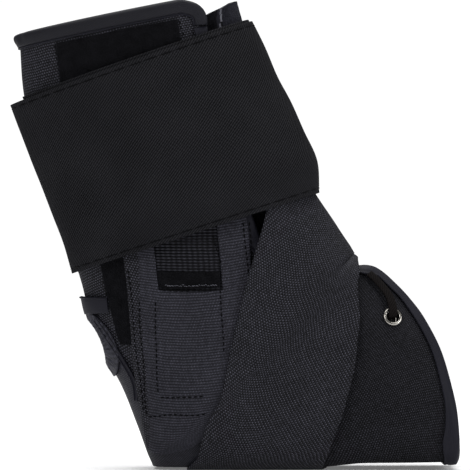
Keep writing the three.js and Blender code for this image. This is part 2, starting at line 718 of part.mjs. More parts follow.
function quarter(side) {
  const rows = quarterRows();
  const cloth = sheet(rows.length - 1, QUARTER_COLUMNS, (i, j) => {
    const u = rows[i];
    const v = boot.spread(u, frontEdgeShare(u), backEdgeShare(u), j / QUARTER_COLUMNS);
    return [boot.raised(u, side * v, -QUARTER_WALL), boot.raised(u, side * v, 0)];
  });
  const { centre, turn } = eyeletFrame(side);
  const radius = EYELET_INNER / 2 + EYELET_BARREL_WALL + SKIN_GAP;
  const drill = new THREE.CylinderGeometry(radius, radius, 6 * QUARTER_WALL, 16);
  drill.applyQuaternion(turn).translate(centre.x, centre.y, centre.z);
  return fromManifold(toManifold(cloth).subtract(toManifold(drill)));
}

// Eyelet: two rolled flanges on a barrel that passes through the quarter.
function eyelet(side) {
  const bore = EYELET_INNER / 2;
  const barrel = bore + EYELET_BARREL_WALL;
  const rim = EYELET_OUTER / 2;
  const outer = EYELET_SEAT;
  const inner = -QUARTER_WALL - INNER_GAP;
  const roll = EYELET_RIM / 2;
  const profile = [
    [bore, inner - roll], [barrel, inner - EYELET_RIM], [rim - roll, inner - EYELET_RIM],
    [rim - roll, inner], [barrel, inner], [barrel, outer], [rim - roll, outer],
    [rim, outer + roll], [rim - roll, outer + EYELET_RIM], [barrel, outer + EYELET_RIM],
    [bore, outer + roll], [bore, inner - roll],
  ];
  const points = profile.map(([radius, height]) => new THREE.Vector2(radius, height));
  const { centre, turn } = eyeletFrame(side);
  const ring = new THREE.LatheGeometry(points, 12);
  return ring.applyQuaternion(turn).translate(centre.x, centre.y, centre.z);
}

function collar() {
  const near = evenRoute(frontEdgePlaces, COLLAR_STEP).filter(({ u, v }, i) => {
    const { z } = boot.point(u, v);
    return z > COLLAR_ENDS_AT * HEIGHT || i === 0;
  });
  const start = near[0].v;
  const corner = [...near].reverse().map(({ u, v }) => ({ u, v: -v }));
  const rising = [];
  for (let i = 1; i < COLLAR_STEPS; i += 1) {
    rising.push({ u: 0, v: boot.spread(0, start, 1, i / COLLAR_STEPS) });
  }
  const nearTop = rising.map(({ u, v }) => ({ u, v: -v }));
  const farTop = [...rising].reverse().map(({ u, v }) => ({ u, v: v - 2 }));
  const top = [...nearTop, { u: 0, v: -1 }, ...farTop];
  const farCorner = near.map(({ u, v }) => ({ u, v: v - 2 }));
  return edgeTape([...corner, ...top, ...farCorner], collarProfile(), 1);
}

function edgeBinding(side) {
  const down = frontEdgeRows.filter(({ u, v }, i) => {
    const { z } = boot.point(u, v);
    const { every } = EDGE_STEPS_BELOW.find(({ belowZ }) => z < belowZ * HEIGHT) ?? { every: 1 };
    return z < COLLAR_ENDS_AT * HEIGHT - LAYER_GAP && i % every === 0;
  });
  const end = boot.last;
  const bottom = 1 - SEAM_GAP / 2 / boot.section(end).girth;
  const turn = down[down.length - 1].v;
  const under = [];
  for (let i = 1; i <= TOE_TAPE_STEPS; i += 1) {
    under.push({ u: end, v: boot.spread(end, turn, bottom, i / TOE_TAPE_STEPS) });
  }
  const route = [...down, ...under];
  const placed = route.map(({ u, v }) => ({ u, v: side * v }));
  return edgeTape(placed, tapeProfile(EDGE_TAPE_WIDTH), side);
}

function heelOpeningBinding() {
  const [top, bottom] = HEEL_SLOT_ROWS;
  const middle = (top + bottom) / 2;
  const reach = (bottom - top) / 2;
  const route = [];
  for (let i = 0; i < HEEL_TAPE_STEPS; i += 1) {
    const angle = (2 * Math.PI * i) / HEEL_TAPE_STEPS;
    const u = middle + reach * Math.cos(angle);
    const across = (HEEL_SLOT_WIDTH / 2) * Math.sin(angle);
    route.push({ u, v: 1 + across / boot.section(u).girth });
  }
  return edgeTape(route, tapeProfile(HEEL_TAPE_WIDTH), -1, true);
}

function tongue() {
  return sheet(TONGUE.length - 1, TONGUE_COLUMNS, (i, j) => {
    const { row, half, crown } = TONGUE[i];
    const across = (2 * j) / TONGUE_COLUMNS - 1;
    const v = across * half;
    const free = Math.max(frontEdgeShare(row) - TONGUE_TUCK, TONGUE_LEAST);
    const bump = Math.max(1 - (v / free) ** 2, 0);
    const outer = mix(TONGUE_TUCKED, crown * TONGUE_PAD, bump);
    return [boot.raised(row, v, outer - TONGUE_PAD), boot.raised(row, v, outer)];
  });
}

// Flat piece laid on the side of the boot between a back and a front edge.
function sidePatch(rows, side, level, finer, columns, columnShare, isOpen) {
  const places = rows.map((row) => {
    const back = boot.locate(row.backX, row.backZ ?? row.z, side);
    const front = boot.locate(row.frontX, row.frontZ ?? row.z, side);
    return { backU: back.u, backV: back.v, frontU: front.u, frontV: front.v };
  });
  const last = (rows.length - 1) * finer;
  return sheet(last, columns, (i, j) => {
    const at = i / finer;
    const share = columnShare(j);
    const u = mix(columnAt(places, "backU", at), columnAt(places, "frontU", at), share);
    const v = mix(columnAt(places, "backV", at), columnAt(places, "frontV", at), share);
    return level.map((height) => boot.raised(u, v, height));
  }, isOpen);
}

function loopField(side) {
  const columns = 5;
  return sidePatch(LOOP_FIELD, side, LOOP_LEVEL, 1, columns, (j) => j / columns);
}

function sidePanel(side) {
  const [left, right] = WINDOW_SPAN;
  const shares = [0, left / 2, left, mix(left, right, 0.5), right, mix(right, 1, 0.5), 1];
  const finer = 2;
  const isOpen = (i, j) => {
    const inRows = i >= WINDOW_ROWS[0] * finer && i < WINDOW_ROWS[1] * finer;
    return inRows && shares[j] >= left && shares[j + 1] <= right;
  };
  return sidePatch(SIDE_PANEL, side, PANEL_LEVEL, finer, 6, (j) => shares[j], isOpen);
}

function stayTape(side) {
  const columns = 4;
  return sidePatch(STAY_TAPE, side, RIBBED_LEVEL, 2, columns, (j) => j / columns);
}

function backTab() {
  const tops = unwrapped(BACK_TAB.map((row) => boot.locate(row.topX, row.topZ, row.side)));
  const lows = unwrapped(BACK_TAB.map((row) => boot.locate(row.lowX, row.lowZ, row.side)));
  const finer = 3;
  return sheet((BACK_TAB.length - 1) * finer, 2, (i, j) => {
    const at = i / finer;
    const u = mix(columnAt(tops, "u", at), columnAt(lows, "u", at), j / 2);
    const v = mix(columnAt(tops, "v", at), columnAt(lows, "v", at), j / 2);
    return [boot.raised(u, v, TAB_BASE), boot.raised(u, v, TAB_BASE + TAPE)];
  });
}

// Strap from the sole centre over its own side and the ridge to the other side.
function strap(side, crossingBase) {
  const placeOf = (x, z, where) => {
    if (where === "sole") {
      const { u } = boot.locate(x, UNDER_SOLE, side);
      return { u, v: side * (1 - SEAM_GAP / 2 / boot.section(u).girth) };
    }
    if (where === "ridge") return { u: boot.locate(x, z, side).u, v: 0 };
    return boot.locate(x, z, where === "own" ? side : -side);
  };
  const places = STRAP_ROUTE.map((row) => {
    const rear = placeOf(row.rearX, row.rearZ, row.rear);
    const fore = placeOf(row.foreX, row.foreZ, row.fore);
    return { rearU: rear.u, rearV: rear.v, foreU: fore.u, foreV: fore.v, lift: row.lift };
  });
  const end = STRAP_ROUTE.length - 1;
  const rows = STRAP_FACETS.flatMap(({ from, rows: finer }, k) => {
    const to = STRAP_FACETS[k + 1]?.from ?? end;
    return Array.from({ length: (to - from) * finer }, (unused, i) => from + i / finer);
  });
  rows.push(end);
  return sheet(rows.length - 1, STRAP_COLUMNS, (i, j) => {
    const at = rows[i];
    const share = j / STRAP_COLUMNS;
    const u = mix(columnAt(places, "rearU", at), columnAt(places, "foreU", at), share);
    const v = mix(columnAt(places, "rearV", at), columnAt(places, "foreV", at), share);
    const lift = clamp(columnAt(places, "lift", at), 0, 2);
    const low = mix(LAYER_GAP, STRAP_BASE, Math.min(lift, 1));
    const base = mix(low, crossingBase, Math.max(lift - 1, 0));
    return [boot.raised(u, v, base), boot.raised(u, v, base + STRAP_CLOTH)];
  });
}

// Elastic wound round the shaft, each turn outside the last, the inner one a little higher.
function elasticCuff() {
  const turns = (CUFF_END - CUFF_START) / 2;
  const steps = Math.round(turns * CUFF_STEPS_PER_TURN);
  return sheet(steps, CUFF_ROWS_ACROSS, (i, j) => {
    const turnsLeft = turns * (1 - i / steps);
    const risen = clamp((turnsLeft - RISE_FROM_TURN) / RISE_OVER_TURNS, 0, 1);
    const u = (cuffBody.last * j) / CUFF_ROWS_ACROSS - INNER_TURN_RISE * risen;
    const outer = CUFF_TURN * (0.5 - turnsLeft);
    const v = CUFF_END - 2 * turnsLeft;
    return [cuffBody.raised(u, v, outer - ELASTIC), cuffBody.raised(u, v, outer)];
  });
}

// Lace through both lowest eyelets, up over each quarter and under the straps.
function lace() {
  const side = -1;
  const outside = LACE_ROUTE.map(({ x, z, rise }) => {
    const { u, v } = boot.locate(x, z, side);
    const { normal } = boot.frame(u, v);
    return { at: boot.raised(u, v, LACE_LEVEL + rise * LACE_THICKNESS), normal };
  });
  const { centre, normal } = eyeletFrame(side);
  const lastRun = outside[outside.length - 1].at.clone().sub(outside[outside.length - 2].at);
  const across = lastRun.cross(normal).normalize();
  const rings = [];
  const ringAt = (at, wide, thick) => {
    const w = LACE_WIDTH / 2;
    const t = LACE_THICKNESS / 2;
    const c = LACE_CORNER;
    const shape = [[w, c * t], [c * w, t], [-c * w, t], [-w, c * t],
      [-w, -c * t], [-c * w, -t], [c * w, -t], [w, -c * t]];
    rings.push(shape.map(([a, b]) => {
      return at.clone().addScaledVector(wide, a).addScaledVector(thick, b);
    }));
  };
  const half = [];
  outside.forEach(({ at, normal: up }, i) => {
    const from = outside[Math.max(i - 1, 0)].at;
    const to = outside[Math.min(i + 1, outside.length - 1)].at;
    const wide = to.clone().sub(from).cross(up).normalize();
    half.push({ at, wide });
  });
  const last = outside[outside.length - 1].at;
  const away = last.clone().sub(centre).projectOnPlane(normal).normalize();
  for (const { away: share, rise } of LACE_BEND) {
    const at = centre.clone().addScaledVector(away, share * LACE_WIDTH);
    half.push({ at: at.addScaledVector(normal, rise * LACE_THICKNESS), wide: across });
  }
  const inner = half[half.length - 1].at.clone();
  inner.addScaledVector(normal, -LACE_TURN.deeper * LACE_THICKNESS);
  inner.y += LACE_TURN.inward * LACE_THICKNESS;
  half.push({ at: inner, wide: across });
  const flip = ({ at, wide }) => {
    return { at: new THREE.Vector3(at.x, -at.y, at.z), wide: new THREE.Vector3(wide.x, -wide.y, wide.z) };
  };
  const level = new THREE.Vector3(across.x, 0, across.z).normalize();
  const middle = half[half.length - 1].at.clone().setY(0);
  const all = [...half, { at: middle, wide: level }, ...[...half].reverse().map(flip)];
  all.forEach(({ at, wide }, i) => {
    const from = all[Math.max(i - 1, 0)].at;
    const to = all[Math.min(i + 1, all.length - 1)].at;
    const thick = wide.clone().cross(to.clone().sub(from)).normalize();
    ringAt(at, wide, thick);
  });
  const { points, faces } = ringsToSolid(rings, false);
  const count = rings[0].length;
  const lastRing = (rings.length - 1) * count;
  for (let j = 1; j < count - 1; j += 1) {
    faces.push([0, j, j + 1]);
    faces.push([lastRing, lastRing + j + 1, lastRing + j]);
  }
  fixCaps(points, faces, 2 * (count - 2));
  return solidOf(points, faces);
}

// Materials: colour, roughness and metalness of each
const NYLON = { color: 0x2b2c33, roughness: 0.72, metalness: 0 };
const FINE_NYLON = { color: 0x33343b, roughness: 0.6, metalness: 0 };
const ELASTIC_KNIT = { color: 0x16171a, roughness: 0.85, metalness: 0 };
const PILE = { color: 0x121316, roughness: 0.95, metalness: 0 };
const TRICOT_TAPE = { color: 0x30313a, roughness: 0.55, metalness: 0 };
const RIBBED = { color: 0x1e1f23, roughness: 0.75, metalness: 0 };
const NICKEL = { color: 0xc9c7c2, roughness: 0.25, metalness: 1 };
const LACE_CORD = { color: 0x1c1718, roughness: 0.8, metalness: 0 };

const brace = new THREE.Group();

function add(name, geometry, look) {
  const mesh = new THREE.Mesh(geometry, new THREE.MeshStandardMaterial(look));
  mesh.name = name;
  brace.add(mesh);
}

for (const [word, side] of [["near", -1], ["far", 1]]) {
  add(word + "_quarter", quarter(side), NYLON);
  add(word + "_edge_binding", edgeBinding(side), TRICOT_TAPE);
  add(word + "_loop_field", loopField(side), PILE);
  add(word + "_side_panel", sidePanel(side), NYLON);
  add(word + "_stay_tape", stayTape(side), RIBBED);
  add(word + "_eyelet", eyelet(side), NICKEL);
}
add("near_strap", strap(-1, HIGH_CROSSING), FINE_NYLON);
add("far_strap", strap(1, LOW_CROSSING), FINE_NYLON);
add("collar", collar(), TRICOT_TAPE);
add("heel_opening_binding", heelOpeningBinding(), TRICOT_TAPE);
add("back_tab", backTab(), TRICOT_TAPE);
add("tongue", tongue(), PILE);
add("elastic_cuff", elasticCuff(), ELASTIC_KNIT);
add("lace", lace(), LACE_CORD);

// Origin on the ground under the middle of the whole
const box = new THREE.Box3().setFromObject(brace, true);
const middle = box.getCenter(new THREE.Vector3());
brace.position.set(-middle.x, -middle.y, -box.min.z);

export default brace;
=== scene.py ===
"""Ankle stabilizer: woven quarters, tapes, crossing straps, elastic cuff and lace, dressed in fine detail.

Lengths are millimetres until a mesh is made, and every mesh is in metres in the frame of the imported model.
"""

import logging
import math
from dataclasses import dataclass, field
from enum import Enum

import bpy
import numpy as np
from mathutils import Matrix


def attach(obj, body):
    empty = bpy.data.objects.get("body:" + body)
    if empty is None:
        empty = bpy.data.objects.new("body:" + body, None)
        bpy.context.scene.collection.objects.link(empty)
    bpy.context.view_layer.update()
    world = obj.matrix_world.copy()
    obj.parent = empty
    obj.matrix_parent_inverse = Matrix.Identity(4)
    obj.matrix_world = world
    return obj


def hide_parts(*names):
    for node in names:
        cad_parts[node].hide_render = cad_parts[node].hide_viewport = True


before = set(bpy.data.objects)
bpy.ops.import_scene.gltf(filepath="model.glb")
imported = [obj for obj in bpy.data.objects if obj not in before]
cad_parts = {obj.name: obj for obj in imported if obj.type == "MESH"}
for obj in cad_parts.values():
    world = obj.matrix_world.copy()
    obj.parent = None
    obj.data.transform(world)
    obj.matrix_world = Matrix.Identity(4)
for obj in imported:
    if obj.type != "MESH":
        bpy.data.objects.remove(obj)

LOG = logging.getLogger("ankle_stabilizer")

LENGTH = 250.0
HEIGHT = 261.0
BOOT_WIDTH = 68.0
CUFF_WIDTH = 82.0
FRAME_SHIFT = np.array([-0.3936, -0.3935, 0.0])
# The side view: millimetres per unit, its side, and the brace's left end, ground, length and height in it
PHOTO_SCALE = 0.56
PHOTO_SIDE = 470
PHOTO_LEFT = 11.0
PHOTO_GROUND = 468.0
PHOTO_LONG = 447.0
PHOTO_HIGH = 466.0

QUARTER_WALL = 2.4
LOOP_PILE = 1.1
RIBBED_TAPE = 1.1
PANEL_CLOTH = 0.9
STRAP_CLOTH = 1.1
ELASTIC = 1.3
TONGUE_PAD = 4.0
TAPE = 0.8
SKIN_GAP = 0.3
LAYER_GAP = 0.4
SEWN_GAP = 0.8
STRAP_GAP = 1.3
LACE_ROOM = 0.25
EDGE_GAP = 1.1
INNER_GAP = 1.1
COLLAR_SWELL = 2.2
CUFF_ELASTIC_WIDTH = 101.6
PANEL_BASE = SKIN_GAP + RIBBED_TAPE + SKIN_GAP
STRAP_BASE = PANEL_BASE + PANEL_CLOTH + LAYER_GAP + SKIN_GAP
LOW_CROSSING = STRAP_BASE + LACE_ROOM
HIGH_CROSSING = LOW_CROSSING + STRAP_CLOTH + STRAP_GAP
TONGUE_TUCKED = -(QUARTER_WALL + INNER_GAP + COLLAR_SWELL + STRAP_GAP)
SOLE_LEVEL = STRAP_CLOTH + LAYER_GAP
LACE_LEVEL = SEWN_GAP + TAPE + SKIN_GAP + 0.6

# Sections from top to toe: front x, front z, back x, back z, width share, front and back squareness
BOOT_SECTIONS = np.array([
    (0.503, 1.015, 0.020, 0.922, 0.91, 2.3, 2.0),
    (0.530, 0.918, 0.031, 0.794, 0.91, 2.4, 2.0),
    (0.568, 0.815, 0.069, 0.661, 0.91, 2.5, 2.0),
    (0.602, 0.715, 0.106, 0.539, 0.91, 2.6, 2.0),
    (0.637, 0.613, 0.155, 0.410, 0.93, 2.6, 2.0),
    (0.705, 0.509, 0.191, 0.279, 0.94, 2.6, 2.1),
    (0.735, 0.466, 0.248, 0.178, 0.97, 2.6, 2.3),
    (0.754, 0.440, 0.285, 0.090, 1.00, 2.5, 2.6),
    (0.783, 0.438, 0.313, 0.019, 1.00, 2.5, 3.0),
    (0.808, 0.440, 0.336, -0.004, 1.00, 2.4, 3.4),
    (0.826, 0.427, 0.423, -0.004, 1.00, 2.5, 3.8),
    (0.857, 0.403, 0.546, -0.002, 1.00, 2.5, 4.0),
    (0.890, 0.371, 0.691, 0.002, 1.00, 2.5, 4.0),
    (0.926, 0.335, 0.808, 0.004, 1.00, 2.4, 4.0),
    (0.966, 0.270, 0.897, 0.004, 0.99, 2.4, 3.8),
    (0.993, 0.193, 0.956, 0.004, 0.97, 2.3, 3.2),
    (1.007, 0.107, 0.988, 0.004, 0.95, 2.2, 2.6),
])
CUFF_SECTIONS = np.array([
    (0.541, 0.958, -0.003, 0.777, 0.90, 2.3, 1.9),
    (0.571, 0.899, 0.020, 0.718, 0.92, 2.4, 1.9),
    (0.598, 0.838, 0.044, 0.658, 0.95, 2.5, 1.9),
    (0.629, 0.782, 0.069, 0.598, 0.97, 2.6, 1.9),
    (0.657, 0.722, 0.093, 0.538, 0.99, 2.6, 2.0),
    (0.686, 0.660, 0.117, 0.478, 1.00, 2.6, 2.0),
    (0.691, 0.591, 0.135, 0.417, 1.00, 2.6, 2.0),
])
SOLE_LINE = np.array([(0.0, 0.0), (0.70, 0.0), (0.78, 0.009), (1.0, 0.012)])
FRONT_EDGE = [
    (0.385, 0.985), (0.414, 0.984), (0.430, 0.968), (0.435, 0.940), (0.454, 0.863), (0.485, 0.747),
    (0.512, 0.639), (0.539, 0.528), (0.575, 0.459), (0.647, 0.425), (0.714, 0.423), (0.763, 0.427),
    (0.794, 0.430), (0.823, 0.421), (0.852, 0.397), (0.890, 0.358), (0.944, 0.275), (0.975, 0.184),
]
TOE_CORNER = [(15.30, 0.390), (15.72, 0.480), (15.93, 0.600), (16.00, 0.740)]
HEEL_SLOT = (4.66, 5.50)
HEEL_SLOT_WIDTH = 24.0
SEAM_HALF_GAP = 0.15
# Loop field and side panel: back x, back z, front x, front z
LOOP_FIELD = [
    (0.105, 0.907, 0.374, 0.957), (0.119, 0.811, 0.400, 0.843), (0.154, 0.682, 0.385, 0.727),
    (0.178, 0.576, 0.320, 0.610), (0.197, 0.479, 0.290, 0.500), (0.208, 0.421, 0.286, 0.436),
    (0.227, 0.343, 0.288, 0.354), (0.249, 0.268, 0.284, 0.268),
]
SIDE_PANEL = [
    (0.242, 0.564, 0.519, 0.564), (0.246, 0.528, 0.528, 0.528), (0.256, 0.468, 0.535, 0.468),
    (0.266, 0.393, 0.539, 0.393), (0.275, 0.296, 0.539, 0.296), (0.284, 0.206, 0.535, 0.206),
    (0.300, 0.120, 0.500, 0.120), (0.314, 0.050, 0.405, 0.050),
]
# Window of the side panel: shares across, and the rows between which it is cut
WINDOW_SPAN = (0.26, 0.77)
WINDOW_ROWS = (1, 3)
STAY_TAPE = [(0.311, 0.548, 0.490, 0.548), (0.313, 0.468, 0.494, 0.468), (0.318, 0.361, 0.497, 0.361)]
# Strap: rear x, rear z, rear side, fore x, fore z, fore side, lift
STRAP_ROUTE = [
    (0.394, 0.000, "sole", 0.696, 0.000, "sole", 0.0),
    (0.396, 0.004, "own", 0.696, 0.006, "own", 0.0),
    (0.402, 0.014, "own", 0.702, 0.026, "own", 0.3),
    (0.423, 0.043, "own", 0.716, 0.062, "own", 0.75),
    (0.456, 0.124, "own", 0.747, 0.146, "own", 1.0),
    (0.479, 0.189, "own", 0.770, 0.253, "own", 1.0),
    (0.512, 0.339, "own", 0.773, 0.360, "own", 1.0),
    (0.539, 0.442, "own", 0.752, 0.441, "ridge", 2.0),
    (0.564, 0.541, "own", 0.694, 0.487, "other", 2.0),
    (0.582, 0.640, "own", 0.612, 0.532, "other", 2.0),
    (0.600, 0.742, "ridge", 0.528, 0.575, "other", 2.0),
    (0.570, 0.790, "other", 0.456, 0.609, "other", 1.6),
    (0.510, 0.822, "other", 0.405, 0.635, "other", 1.2),
]
# Tongue: section row, half width share, crown
TONGUE = np.array([
    (0.15, 0.05, 0.3), (0.22, 0.11, 0.3), (0.35, 0.20, 0.3), (0.60, 0.22, 0.5), (1.20, 0.23, 0.8),
    (2.20, 0.24, 1.2), (3.20, 0.27, 1.2), (4.20, 0.31, 1.2), (5.00, 0.32, 0.6), (6.00, 0.28, -3.0),
    (7.00, 0.22, -5.0), (8.00, 0.17, -5.0), (9.00, 0.14, -5.0), (10.0, 0.11, -5.0),
])
# Back tab: top x, top z, low x, low z, side
BACK_TAB = [
    (0.222, 0.368, 0.226, 0.336, -1), (0.190, 0.369, 0.197, 0.334, -1), (0.166, 0.371, 0.176, 0.333, -1),
    (0.190, 0.369, 0.197, 0.334, 1), (0.222, 0.368, 0.226, 0.336, 1),
]
EYELET_AT = (0.851, 0.326)
# Lace as far as the eyelet: x, z and rise; then down through it: distance from its axis and rise
LACE_ROUTE = [
    (0.797, 0.413, 0.0), (0.810, 0.402, 0.0), (0.827, 0.384, 0.0), (0.840, 0.366, 0.3), (0.846, 0.350, 0.48),
]
LACE_BEND = [(2.6, 2.7), (0.9, 2.1), (0.1, 0.6), (0.0, -1.62), (0.0, -5.16)]
# Region of finer cloth at the heel: heights, and how far forward it reaches at each
HEEL_CLOTH = ([0.05, 0.148, 0.195, 0.264, 0.328], [0.45, 0.289, 0.282, 0.239, 0.195])
HEEL_CLOTH_TOP = 0.328
HEEL_GATHERS_FROM = 0.215
FOREFOOT_FROM = 0.66
# Hem strip of the side panel: heights, and where it ends at each
PANEL_HEM = ([0.11, 0.36, 0.56], [0.313, 0.293, 0.285])
STAY_PITCH = 1.85
# Marks on the side view: band of pile in the window, cord on the heel, stitch rows of panel and quarter
POCKET_BAND = (158.5, 221.0)
POCKET_ROWS = (270.5, 278.0, 286.5)
FRAY_SPAN = (168.0, 217.0)
FRAY_AT = 285.2
HEEL_CORD = [(99, 317), (108, 330), (118, 345), (128, 361), (136, 375), (139.5, 386), (140.5, 399)]
PANEL_STITCHES = [
    [(142, 300), (145, 345), (148, 385), (151, 415)],
    [(158, 300), (159, 345), (160, 375), (162, 394)],
    [(163, 395), (185, 395), (209, 393)],
    [(152, 414), (180, 412), (212, 409)],
    [(214, 236), (217, 248), (222, 264)],
    [(221, 288), (223, 320), (225, 355)],
    [(131, 268), (136, 310), (141, 360), (148, 412)],
    [(243, 222), (246, 250), (250, 290), (248, 330)],
    [(249, 222), (252, 250), (255, 290), (252, 330)],
    [(164, 289), (190, 290), (217, 288)],
]
QUARTER_STITCHES = [
    [(57, 46), (60, 66), (64, 88)],
    [(104, 274), (108, 292), (112, 305)],
    [(180, 22), (186, 42)],
]


class Side(Enum):
    """The two sides of the brace, as signs of Y."""

    NEAR = -1
    FAR = 1


class Inward(Enum):
    """Which way the cloth lies from a tape's route, as it is walked."""

    LEFT = 1
    RIGHT = -1


def to_linear(hex_colour: str) -> tuple[float, float, float, float]:
    """Turn an sRGB hex colour into the linear values a shader takes.

    Args:
        hex_colour: six hex digits.

    Returns:
        Red, green, blue and an alpha of one.
    """
    channels = [int(hex_colour[i:i + 2], 16) / 255.0 for i in (0, 2, 4)]
    linear = [c / 12.92 if c <= 0.04045 else ((c + 0.055) / 1.055) ** 2.4 for c in channels]
    return (linear[0], linear[1], linear[2], 1.0)


def smooth_rows(rows: np.ndarray, at: np.ndarray) -> np.ndarray:
    """Read a table at row numbers that need not be whole, on a smooth curve.

    Args:
        rows: the table, one row per station.
        at: row numbers.

    Returns:
        One interpolated row for each number.
    """
    rows = np.asarray(rows, float)
    at = np.asarray(at, float)
    last = len(rows) - 1
    i = np.clip(np.floor(at).astype(int), 0, last - 1)
    t = (at - i)[..., None]
    start, end = rows[i], rows[i + 1]
    before = np.where((i > 0)[..., None], rows[np.maximum(i - 1, 0)], 2 * start - end)
    after = np.where((i + 2 <= last)[..., None], rows[np.minimum(i + 2, last)], 2 * end - start)
    slope_in, slope_out = (end - before) / 2, (after - start) / 2
    inside = (
        (2 * t**3 - 3 * t**2 + 1) * start + (t**3 - 2 * t**2 + t) * slope_in
        + (3 * t**2 - 2 * t**3) * end + (t**3 - t**2) * slope_out
    )
    inside = np.where(t < 0, start + slope_in * t, inside)
    return np.where(t > 1, end + slope_out * (t - 1), inside)


def side_x(share: np.ndarray | float) -> np.ndarray | float:
    """Millimetres along X for a share of the length."""
    return (share - 0.5) * LENGTH


def side_z(share: np.ndarray | float) -> np.ndarray | float:
    """Millimetres up for a share of the height."""
    return share * HEIGHT


def from_photo(x: float, y: float) -> tuple[float, float]:
    """Shares of length and height for a place measured on the side view, in its own 470 units."""
    return (x - PHOTO_LEFT) / PHOTO_LONG, (PHOTO_GROUND - y) / PHOTO_HIGH


def ripple(points: np.ndarray, size: float, seed: float) -> np.ndarray:
    """Smooth waviness of cloth, between about -1 and 1, from a few crossing sines.

    Args:
        points: places in millimetres.
        size: distance between waves in millimetres.
        seed: number that shifts the pattern.

    Returns:
        One value for each place.
    """
    p = points / size
    x, y, z = p[..., 0], p[..., 1], p[..., 2]
    a = np.sin(1.7 * x + 2.3 * z + seed) * np.cos(1.1 * y - 1.9 * z + 1.3 * seed)
    b = np.sin(3.1 * x - 1.4 * z + 2.1 * seed) * np.sin(2.7 * z + 1.2 * y + 0.7 * seed)
    c = np.sin(5.3 * x + 4.1 * z + 0.4 * seed) * np.cos(4.7 * y + 3.3 * x)
    return 0.5 * a + 0.33 * b + 0.17 * c


def distances(line: np.ndarray) -> np.ndarray:
    """Distance run along a line of points, from its first point to each."""
    return np.concatenate([[0], np.cumsum(np.linalg.norm(np.diff(line, axis=0), axis=1))])


